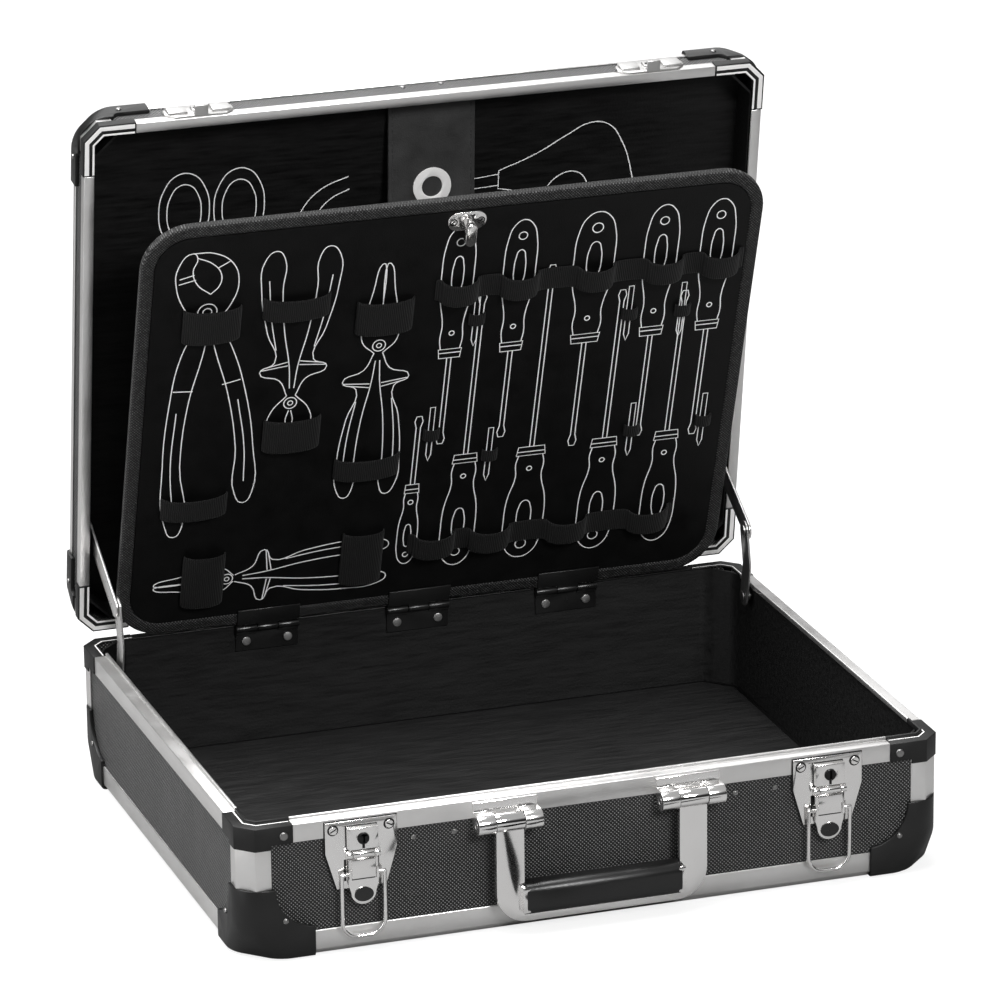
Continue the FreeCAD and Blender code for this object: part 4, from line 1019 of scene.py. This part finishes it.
def pliers(jaw, jaw_scale=1.0, spread=1.0):
    """Pliers with the pivot at the middle, jaws upward and handles with flared guards downward."""
    def splay(x, y):
        share = min(1.0, max(0.0, (-y - SPLAY_START) / SPLAY_RUN))
        return x * (1 + (spread - 1) * share), y

    half = [curved(*[splay(x, y) for x, y in PLIER_GRIP]),
            curved(*[splay(x, y) for x, y in GRIP_LINE]),
            curved(*[(x * jaw_scale, y * jaw_scale) for x, y in jaw]),
            straight((-22, -28.5), (-4, -30.5)),
            straight((-19, -30.5), (-4.2, -33.5))]
    return half + moved(half, 0, 0, mirror=-1.0) + [ring(0, 0, 4.4), ring(0, 0, 1.7)]


LONG_JAW = [(-3, -6), (-12, 4), (-12, 18), (-7.5, 44), (-3, 65), (-0.8, 65), (-0.8, 8)]
CUTTER_JAW = [(-3, -6), (-13, 6), (-15, 18), (-8, 28), (-0.8, 25), (-2.5, 14), (-0.8, 6)]
PUMP_PLIERS = [
    curved((-6, -8), (-16, 8), (-21, 24), (-20, 40), (-10, 50), (-7, 46), (-10, 36), (-7, 25), (2, 16)),
    curved((7, -6), (17, 8), (21, 22), (17, 38), (4, 48), (-10, 50)),
    curved((-7, 46), (3, 40), (9, 31), (8, 22), (2, 16)),
    straight((-9, 33), (-19, 31)),
    straight((-8, 29), (-19.5, 27)),
    straight((7, 36), (15, 40)),
    ring(0, 2, 6.5),
    ring(0, 2, 3),
    ring(9, -12, 2.2, 4),
    curved((-6, -8), (-17, -30), (-25, -70), (-29, -120), (-27, -168), (-21, -178), (-15, -170),
           (-17, -120), (-12, -70), (-3, -34), (2, -10)),
    curved((7, -6), (17, -28), (27, -66), (33, -112), (33, -150), (27, -158), (21, -150), (21, -112),
           (15, -66), (6, -30), (2, -10)),
    straight((-22.5, -58), (-9, -60)),
    straight((23.5, -56), (11, -58)),
    curved((-20, -76), (-23.5, -120), (-21.5, -160)),
    curved((22, -72), (27, -112), (27, -140)),
]
print("pliers", len(pliers(LONG_JAW)), "strokes, pump pliers", len(PUMP_PLIERS))

# %% [markdown]
# On the board, five screwdrivers hang handle up and five handle down between them, four pairs of pliers
# fill the left half, and a small bit stands in each narrow loop. The sheet lies a hair inside the
# board's face, so that the ink is seated on it. A row gives a place across, then the lengths.

# %% Prints on the pallet
INK_HALF = 0.38
INK_THICKNESS = 0.12
INK_SEAT = 0.03
ON_BOARD = ON_PALLET @ Matrix.Translation((0, (BOARD_FACE - INK_SEAT) * MM, 0))
HANDLE_TOP, UP_HANDLE = 306, 96
HANDLES_UP = ((3, 172, 11), (45, 172, 11), (96, 186, 14), (142, 184, 11.5), (181, 188, 11.5))
HANDLE_FOOT, DOWN_HANDLE = 32, 84
HANDLES_DOWN = ((22, 252, 12), (68, 268, 14), (119, 242, 13), (163, 236, 12))
BIT_HALF, BIT_RISE, BIT_SHOULDER, BIT_TIP = 1.7, 20, 18, 23

tools = []
for x, length, half in HANDLES_UP:
    tools += moved(screwdriver(length, UP_HANDLE, half), x, HANDLE_TOP - length)
for x, tip, half in HANDLES_DOWN:
    tools += moved(screwdriver(tip - HANDLE_FOOT, DOWN_HANDLE, half), x, tip, 180)
tools += moved(screwdriver(120, 58, 7), x=-13, y=158, degrees=180)
tools += moved(PUMP_PLIERS, x=-164, y=258, degrees=3, scale=0.98)
tools += moved(pliers(CUTTER_JAW, 1.0, spread=1.5), x=-103, y=181, degrees=180, scale=0.98)
tools += moved(pliers(LONG_JAW, 1.0, spread=1.2), x=-46, y=219, scale=0.98)
tools += moved(pliers(LONG_JAW, 0.85, spread=1.2), x=-136, y=43, degrees=90, scale=0.9)
for x_share, h_share in BIT_LOOPS:
    x, height = x_share * PALLET_HALF, PALLET_FOOT + h_share * PALLET_HEIGHT
    tools.append(straight((x - BIT_HALF, height + BIT_RISE), (x - BIT_HALF, height - BIT_SHOULDER),
                          (x, height - BIT_TIP), (x + BIT_HALF, height - BIT_SHOULDER),
                          (x + BIT_HALF, height + BIT_RISE), closed=True))
flat_lines("pallet_print", tools, INK_HALF, INK_THICKNESS, ON_BOARD, print_white, "pallet", "pallet_vinyl")

# %% [markdown]
# The same ink is on the lid's lining: a pair of scissors, a curved scraper and a small saw. There the
# sheet lies under the roof of the closed lid and is turned with it.

# %% Prints on the lid
lining_sheet = Matrix.Translation((0, HINGE.y, (LINING_ROOF - INK_SEAT) * MM))
ON_LINING = OPEN_LID @ lining_sheet @ Matrix.Rotation(math.pi / 2, 4, "X")
SCISSOR_HALF = [ring(0, 0, 17, 27), ring(0, -1, 11.5, 20), curved((-9, -24), (-6, -44), (0, -80)),
                curved((5, -26), (8, -48), (15, -84))]
SCISSOR_SPREAD = 18.5
SAW = [curved((-62, -10), (-30, 2), (-4, 16), (16, 25), (32, 22), (44, 6), (54, -24), (60, -60)),
       curved((-26, -52), (-22, -34), (-10, -20), (6, -18), (16, -30), (24, -56)),
       straight((-62, -10), (-62, -26), (-44, -30), (-34, -56)),
       straight((-62, -13), (-84, -15), (-84, -24), (-62, -23))]
SCRAPER = [curved((-82, 268), (-76, 284), (-64, 296), (-46, 303)),
           curved((-72, 266), (-67, 278), (-58, 288), (-45, 294))]

scissors = []
for side in (-1, 1):
    scissors += moved(SCISSOR_HALF, side * SCISSOR_SPREAD, 0, mirror=-side)
lid_prints = moved(scissors, -138, 290) + moved(SAW, 107, 304, 0, 0.8) + SCRAPER
flat_lines("lid_print", lid_prints, INK_HALF, INK_THICKNESS, ON_LINING, print_white, "lid", "liner_vinyl")

# %% [markdown]
# Two rows of stitches hold the strap's folded edges. One stitch is a short bar of thread, and the rows
# follow the slope of the strap's free run.

# %% Strap stitches
STITCH_LENGTH = 3.0
STITCH_STEP = 4.4
STITCH_INSET = 3.2
STITCH_START = 9.0
STITCH_END_GAP = 6.0
THREAD_HALF = 0.45
THREAD_THICKNESS = 0.5
strap_under = Vector((STRAP_OFFSET, STRAP_FRONT, STRAP_ROOF - STRAP_WALL)) * MM
strap_turn = Matrix.Rotation(-STRAP_SLOPE - math.pi / 2, 4, "X")
ON_STRAP = OPEN_LID @ Matrix.Translation(strap_under) @ strap_turn

stitches = []
run = STITCH_START
while run < STRAP_LENGTH - STITCH_END_GAP:
    for side in (-1, 1):
        x = side * (STRAP_HALF - STITCH_INSET)
        stitches.append(straight((x, run), (x, run + STITCH_LENGTH)))
    run += STITCH_STEP
flat_lines("strap_stitches", stitches, THREAD_HALF, THREAD_THICKNESS, ON_STRAP, thread_grey, "lid",
           "strap_leather")

# %% [markdown]
# In each rim corner the moulding leaves the metal of the rim bare along its outer and inner edge. These
# are narrow pale strips that follow the cut corner. One corner is drawn and mirrored to the others.

# %% Bright strips in the rim corners
CORNER_CUT = 10.0
LID_MOUTH = 88.6
STRIP_REACH = 33.0
STRIP_THICKNESS = 0.3
CORNERS = [(side_x, side_y) for side_x in (-1, 1) for side_y in (-1, 1)]
LYING = Matrix.Rotation(-math.pi / 2, 4, "X")
LID_FACE = OPEN_LID @ Matrix.Translation((0, 0, LID_MOUTH * MM)) @ LYING
BASE_FACE = Matrix.Translation((0, 0, BASE_HEIGHT * MM)) @ LYING


def corner_strip(inset, side_x, side_y):
    leg = CORNER_CUT - inset * (2 - math.sqrt(2))
    x_edge, y_edge = HALF_WIDTH - inset, HALF_DEPTH - inset
    points = [(HALF_WIDTH - STRIP_REACH, y_edge), (x_edge - leg, y_edge), (x_edge, y_edge - leg),
              (x_edge, HALF_DEPTH - STRIP_REACH)]
    return straight(*[(side_x * x, side_y * y) for x, y in points])


def corner_strips(name, inset, half_width, place, body):
    strips = [corner_strip(inset, *corner) for corner in CORNERS]
    # The strips' pale matt finish is a painted reflection of their bare metal.
    flat_lines(name, strips, half_width, STRIP_THICKNESS, place, painted_pale_metal, body, "satin_aluminium")


corner_strips("lid_corner_outer_strips", inset=1.7, half_width=1.5, place=LID_FACE, body="lid")
corner_strips("lid_corner_inner_strips", inset=6.0, half_width=0.7, place=LID_FACE, body="lid")
corner_strips("base_corner_strips", inset=6.2, half_width=0.45, place=BASE_FACE, body="base")

# %% [markdown]
# The latches carry many small features, and all of them are blocks, dishes or lines. A block gets a
# small bevel so that it catches the light. A dish is a disc whose front face is inset to a rim and
# pushed in to a bowl. A dark line on a face is a painted shadow, drawn as the prints are.

# %% Small block, dish and line helpers
DISH_SIDES = 32
DISH_WALL = 1.0
DISH_STEPS = ((0.9, 0.0), (1.6, -0.5), (1.8, -0.25))
LINE_THICKNESS = 0.3


def soft_block(name, centre, size, round_edge, turn=0.0):
    bpy.ops.object.select_all(action="DESELECT")
    bpy.ops.mesh.primitive_cube_add(size=1.0, location=Vector(centre) * MM, rotation=(0, turn, 0),
                                    scale=Vector(size) * MM)
    piece = bpy.context.view_layer.objects.active
    piece.name = name
    bpy.ops.object.transform_apply(location=True, rotation=True, scale=True)
    apply_modifier(piece, "BEVEL", width=round_edge * MM, segments=2)
    smooth_by_angle(piece)
    return piece


def finger_dish(name, centre, radius, squeeze):
    """A disc on the lever's tab, pressed to an oval, whose front face is inset to a rim and a bowl."""
    bpy.ops.object.select_all(action="DESELECT")
    bpy.ops.mesh.primitive_cylinder_add(vertices=DISH_SIDES, radius=radius * MM, depth=DISH_WALL * MM,
                                        location=Vector(centre) * MM, rotation=(math.pi / 2, 0, 0))
    piece = bpy.context.view_layer.objects.active
    piece.name = name
    bpy.ops.object.transform_apply(location=True, rotation=True, scale=True)
    front = min(piece.data.polygons, key=lambda face: face.center.y).index
    for face in piece.data.polygons:
        face.select = face.index == front
    bpy.ops.object.mode_set(mode="EDIT")
    for inset, push in DISH_STEPS:
        bpy.ops.mesh.inset(thickness=inset * MM, depth=push * MM)
    bpy.ops.object.mode_set(mode="OBJECT")
    for vertex in piece.data.vertices:
        vertex.co.z = centre[2] * MM + (vertex.co.z - centre[2] * MM) * squeeze
    smooth_by_angle(piece, 50)
    return piece


def dark_lines(name, strokes, half_width, face_y, body, thickness=LINE_THICKNESS):
    place = Matrix.Translation((0, face_y * MM, 0))
    flat_lines(name, strokes, half_width, thickness, place, black_and_painted_shade, body, "chrome")


# %% [markdown]
# Each latch plate is screwed to the front wall. Its lock stands in a cut-out, and a dark plate behind it
# is the painted shadow in the gap round the lock. The keyhole's tail hangs below the cylinder, painted
# black for the shade in the hole. The lock's own box gives its height. A thin painted shadow line
# follows the plate's outline where it meets the panel.

# %% Locks and plates
LATCHES = ((-1, "left"), (1, "right"))
LATCH_X = 153.0
PLATE_FACE = -182.5
PLATE_BACK = PLATE_FACE + 1.3
PLATE_LINE = 0.8
PLATE_EDGE = ((-23, 86), (23, 86), (23, 66), (16, 42), (-16, 42), (-23, 66))
LOCK_FACE = -187.5
TAIL_DROP = 4.6
TAIL_SIZE = (1.7, 0.3, 3.6)
TAIL_ROUND = 0.1
LOCK_SHADOW_FACE = PLATE_FACE - 0.05
LOCK_SHADOW_SIZE = (20.4, 0.2, 15.2)
LOCK_SHADOW_ROUND = 0.05

for side, name in LATCHES:
    x = side * LATCH_X
    lock_low, lock_high = [Vector(corner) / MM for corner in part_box("lock_cylinder_" + name)]
    lock_z = (lock_low.z + lock_high.z) / 2
    # The keyhole's tail is a dark block: painted shade in the hole.
    tail_place = (x, LOCK_FACE, lock_z - TAIL_DROP)
    tail = soft_block("keyhole_tail_" + name, tail_place, TAIL_SIZE, TAIL_ROUND)
    settle(tail, black_and_painted_shade, "base", "chrome")
    # A dark plate behind the lock: painted shadow in the cut-out's gap.
    shadow_place = (x, LOCK_SHADOW_FACE, lock_z)
    lock_shadow_plate = soft_block("lock_shadow_" + name, shadow_place, LOCK_SHADOW_SIZE, LOCK_SHADOW_ROUND)
    settle(lock_shadow_plate, black_and_painted_shade, "base", "chrome")
    outline = straight(*[(x + across, height) for across, height in PLATE_EDGE], closed=True)
    dark_lines("plate_shadow_" + name, [outline], PLATE_LINE, PLATE_BACK, "base")
print("locks and plates", len(LATCHES))

# %% [markdown]
# The plates' screws are slotted. Each slot is a dark block, painted shade in the slot, and a dark ring
# is the painted shadow where each head meets the plate. The slots of all four are one piece, each
# turned a little, as screws stop where they are tight.

# %% Latch screws
SCREW_REACH = 18.0
SCREW_Z = 81.0
SCREW_TURN = math.radians(28)
SCREW_TOP = PLATE_FACE - 1.0
SCREW_SLOT = (4.4, 0.3, 0.8)
SLOT_ROUND = 0.08
SCREW_RING = 3.0
RING_LINE = 0.55
RING_THICKNESS = 0.4

slots = []
screw_ring_shadows = []
for side, _ in LATCHES:
    for end in (-1, 1):
        screw_x = side * LATCH_X + end * SCREW_REACH
        slot_place = (screw_x, SCREW_TOP, SCREW_Z)
        # Dark slot blocks: painted shade in the slots.
        slots.append(soft_block("slot", slot_place, SCREW_SLOT, SLOT_ROUND, end * SCREW_TURN))
        screw_ring_shadows.append(ring(screw_x, SCREW_Z, SCREW_RING))
settle(join_pieces("latch_screw_slots", slots), black_and_painted_shade, "base", "chrome")
# Dark rings: painted shadow where the heads meet the plate.
dark_lines("latch_screw_ring_shadows", screw_ring_shadows, RING_LINE, PLATE_FACE, "base", RING_THICKNESS)

# %% [markdown]
# A lever is stamped: a stepped face with a painted shadow line under it where the tab begins, and a
# finger dish in the tab whose bowl is painted dark, a painted reflection in its chrome. Beside the lever,
# two dark lines on the plate are painted shadows of the lever. The dish's bowl is told from its rim by
# how far its faces lie from the middle.

# %% Levers
LEVER_FACE = -186.35
STEP_Y, STEP_Z = LEVER_FACE - 0.4, 55.6
STEP_SIZE = (15.6, 1.4, 12.6)
STEP_ROUND = 0.5
STEP_SHADOW_Z = 48.8
STEP_SHADOW_HALF = 7.6
STEP_SHADOW_LINE = 0.45
SIDE_SHADOW_X = 10.6
SIDE_SHADOW_LOW, SIDE_SHADOW_HIGH = 47.0, 61.0
SIDE_SHADOW_LINE = 0.7
DISH_Y, DISH_Z = LEVER_FACE - 0.3, 38.5
DISH_RADIUS = 7.0
DISH_SQUEEZE = 0.74
BOWL_RADIUS = 5.6
BOWL_FACE = LEVER_FACE - 0.1


def in_bowl(polygon, x):
    across = polygon.center.x - x * MM
    upward = (polygon.center.z - DISH_Z * MM) / DISH_SQUEEZE
    return Vector((across, upward)).length < BOWL_RADIUS * MM and polygon.center.y < BOWL_FACE * MM


for side, name in LATCHES:
    x = side * LATCH_X
    step = soft_block("lever_face_" + name, (x, STEP_Y, STEP_Z), STEP_SIZE, STEP_ROUND)
    settle(step, bright_chrome, "lever_" + name, "chrome")
    # A dark line under the stepped face: painted shadow.
    step_shadow = straight((x - STEP_SHADOW_HALF, STEP_SHADOW_Z), (x + STEP_SHADOW_HALF, STEP_SHADOW_Z))
    dark_lines("lever_step_shadow_" + name, [step_shadow], STEP_SHADOW_LINE, LEVER_FACE, "lever_" + name)
    # Two dark lines beside the lever: painted shadows on the plate.
    side_shadows = [straight((x + end * SIDE_SHADOW_X, SIDE_SHADOW_LOW), (x + end * SIDE_SHADOW_X, SIDE_SHADOW_HIGH)) for end in (-1, 1)]
    dark_lines("lever_side_shadows_" + name, side_shadows, SIDE_SHADOW_LINE, PLATE_FACE, "base")
    dish = finger_dish("lever_dish_" + name, (x, DISH_Y, DISH_Z), DISH_RADIUS, DISH_SQUEEZE)
    settle(dish, bright_chrome, "lever_" + name, "chrome")
    # The bowl is painted dark: a painted reflection in the chrome dish.
    dish.data.materials.append(black_and_painted_reflection)
    for polygon in dish.data.polygons:
        polygon.material_index = 1 if in_bowl(polygon, x) else 0
print("lever dishes", len(dish.data.polygons), "faces each")

# %% [markdown]
# The catches on the lid have a raised wing on each side and a slot between them for the bail, where a
# dark block paints the shade. They are placed on the closed lid, where their sizes are easy to give, and
# then turned open with it.

# %% Catches
CATCH_FACE = -182.5
CATCH_Z = 97.7
WING_REACH = 14.5
WING_Y = CATCH_FACE - 0.6
WING_SIZE = (13.0, 2.4, 11.0)
WING_ROUND = 1.1
CATCH_SLOT_Y = CATCH_FACE - 1.45
CATCH_SLOT_SIZE = (6.4, 0.3, 2.6)
CATCH_SLOT_ROUND = 0.1

for side, name in LATCHES:
    x = side * LATCH_X
    wings = [soft_block("wing", (x + end * WING_REACH, WING_Y, CATCH_Z), WING_SIZE, WING_ROUND)
             for end in (-1, 1)]
    catch = join_pieces("catch_wings_" + name, wings)
    catch.data.transform(OPEN_LID)
    settle(catch, catch_steel, "lid", "chrome")
    # A dark block in the catch's slot: painted shade.
    mouth_place = (x, CATCH_SLOT_Y, CATCH_Z)
    mouth = soft_block("catch_slot_" + name, mouth_place, CATCH_SLOT_SIZE, CATCH_SLOT_ROUND)
    mouth.data.transform(OPEN_LID)
    settle(mouth, black_and_painted_shade, "lid", "chrome")
print("catches", len(LATCHES))

# %% [markdown]
# The turn lock's plate is screwed to the pallet through its two ears. Each screw shows as a dark ring
# with a slot across it, drawn on the plate's face: painted shade round the head and in the slot.

# %% Turn lock screws
TURN_LOCK_X = 5.0
TURN_LOCK_DROP = 7.5
TURN_LOCK_WALL = 1.6
TURN_LOCK_HEIGHT = PALLET_FOOT + PALLET_HEIGHT - EDGING - TURN_LOCK_DROP
TURN_LOCK_FACE = BOARD_FACE - TURN_LOCK_WALL
ON_TURN_LOCK = ON_PALLET @ Matrix.Translation((0, TURN_LOCK_FACE * MM, 0))
EAR_REACH = 9.2
EAR_RING = 2.2
EAR_SLOT = (1.0, 0.9)
EAR_LINE = 0.42

ear_screws = []
for end in (-1, 1):
    ear_x = TURN_LOCK_X + end * EAR_REACH
    ear_screws.append(ring(ear_x, TURN_LOCK_HEIGHT, EAR_RING))
    ear_screws.append(straight((ear_x - EAR_SLOT[0], TURN_LOCK_HEIGHT - EAR_SLOT[1]),
                               (ear_x + EAR_SLOT[0], TURN_LOCK_HEIGHT + EAR_SLOT[1])))
# Painted shade of the screws' rims and slots.
flat_lines("turn_lock_screws", ear_screws, EAR_LINE, LINE_THICKNESS, ON_TURN_LOCK, black_and_painted_shade, "pallet",
           "chrome")

# %% [markdown]
# The grip is a moulding on the handle's bar, and a small chrome collar closes each of its ends. The
# grip's own box says where the ends are, so the collars follow the CAD.

# %% Grip collars
COLLAR_LENGTH = 5.0
COLLAR_ROUND = 1.0
COLLAR_DEPTH_SHARE = 0.94
COLLAR_HEIGHT_SHARE = 0.8
grip_low, grip_high = [Vector(corner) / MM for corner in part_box("handle_grip")]
grip_middle = (grip_low + grip_high) / 2
grip_size = grip_high - grip_low
collar_size = (COLLAR_LENGTH, grip_size.y * COLLAR_DEPTH_SHARE, grip_size.z * COLLAR_HEIGHT_SHARE)
for side, end in (("left", grip_low.x), ("right", grip_high.x)):
    collar_place = (end, grip_middle.y, grip_middle.z)
    collar = soft_block("grip_collar_" + side, collar_place, collar_size, COLLAR_ROUND)
    settle(collar, bright_chrome, BODY_OF["handle_grip"], "chrome")
print("grip", [round(value, 1) for value in grip_size], "at", [round(value, 1) for value in grip_middle])

# %% [markdown]
# The tray has a loose mat on its floor. It is a flat block with cut corners and soft edges, a little
# smaller than the floor, and a dark line along the walls paints the shade in the gap round it.

# %% Tray mat
MAT_GAP = 2.6
MAT_CUT = 17.0
MAT_WALL = 1.0
MAT_Z = 6.0
MAT_ROUND = 0.4
MAT_INSET = LINER_FACE + MAT_GAP


def is_upright(edge, *faces):
    low, high = [mat.data.vertices[index].co for index in edge.vertices]
    return abs(low.z - high.z) > MAT_WALL / 2 * MM


bpy.ops.object.select_all(action="DESELECT")
mat_size = Vector((2 * (HALF_WIDTH - MAT_INSET), 2 * (HALF_DEPTH - MAT_INSET), MAT_WALL))
bpy.ops.mesh.primitive_cube_add(size=1.0, location=(0, 0, MAT_Z * MM), scale=mat_size * MM)
mat = bpy.context.view_layer.objects.active
mat.name = "tray_mat"
bpy.ops.object.transform_apply(location=True, rotation=True, scale=True)
bevel_edges(mat, is_upright, MAT_CUT, 1)
apply_modifier(mat, "BEVEL", width=MAT_ROUND * MM, segments=2, limit_method="ANGLE",
               angle_limit=math.radians(60))
smooth_by_angle(mat)
settle(mat, mat_felt, "base", "liner_vinyl")
print("mat", len(mat.data.polygons), "faces")

# %% Painted shade in the gap round the mat
GAP_SHADOW_Z = 6.4
GAP_SHADOW_HALF = 1.2
GAP_SHADOW_THICKNESS = 0.4
ON_GAP_SHADOW = Matrix.Translation((0, 0, GAP_SHADOW_Z * MM)) @ LYING
gap_shadow_x = HALF_WIDTH - LINER_FACE - MAT_GAP / 2
gap_shadow_y = HALF_DEPTH - LINER_FACE - MAT_GAP / 2
gap_shadow = [(gap_shadow_x - MAT_CUT, gap_shadow_y), (gap_shadow_x, gap_shadow_y - MAT_CUT), (gap_shadow_x, MAT_CUT - gap_shadow_y),
         (gap_shadow_x - MAT_CUT, -gap_shadow_y)]
gap_shadow += [(-x, y) for x, y in reversed(gap_shadow)]
# A dark strip in the gap between mat and walls: painted shade.
flat_lines("tray_gap_shadow", [straight(*gap_shadow, closed=True)], GAP_SHADOW_HALF, GAP_SHADOW_THICKNESS, ON_GAP_SHADOW,
           black_and_painted_shade, "base", "liner_vinyl")
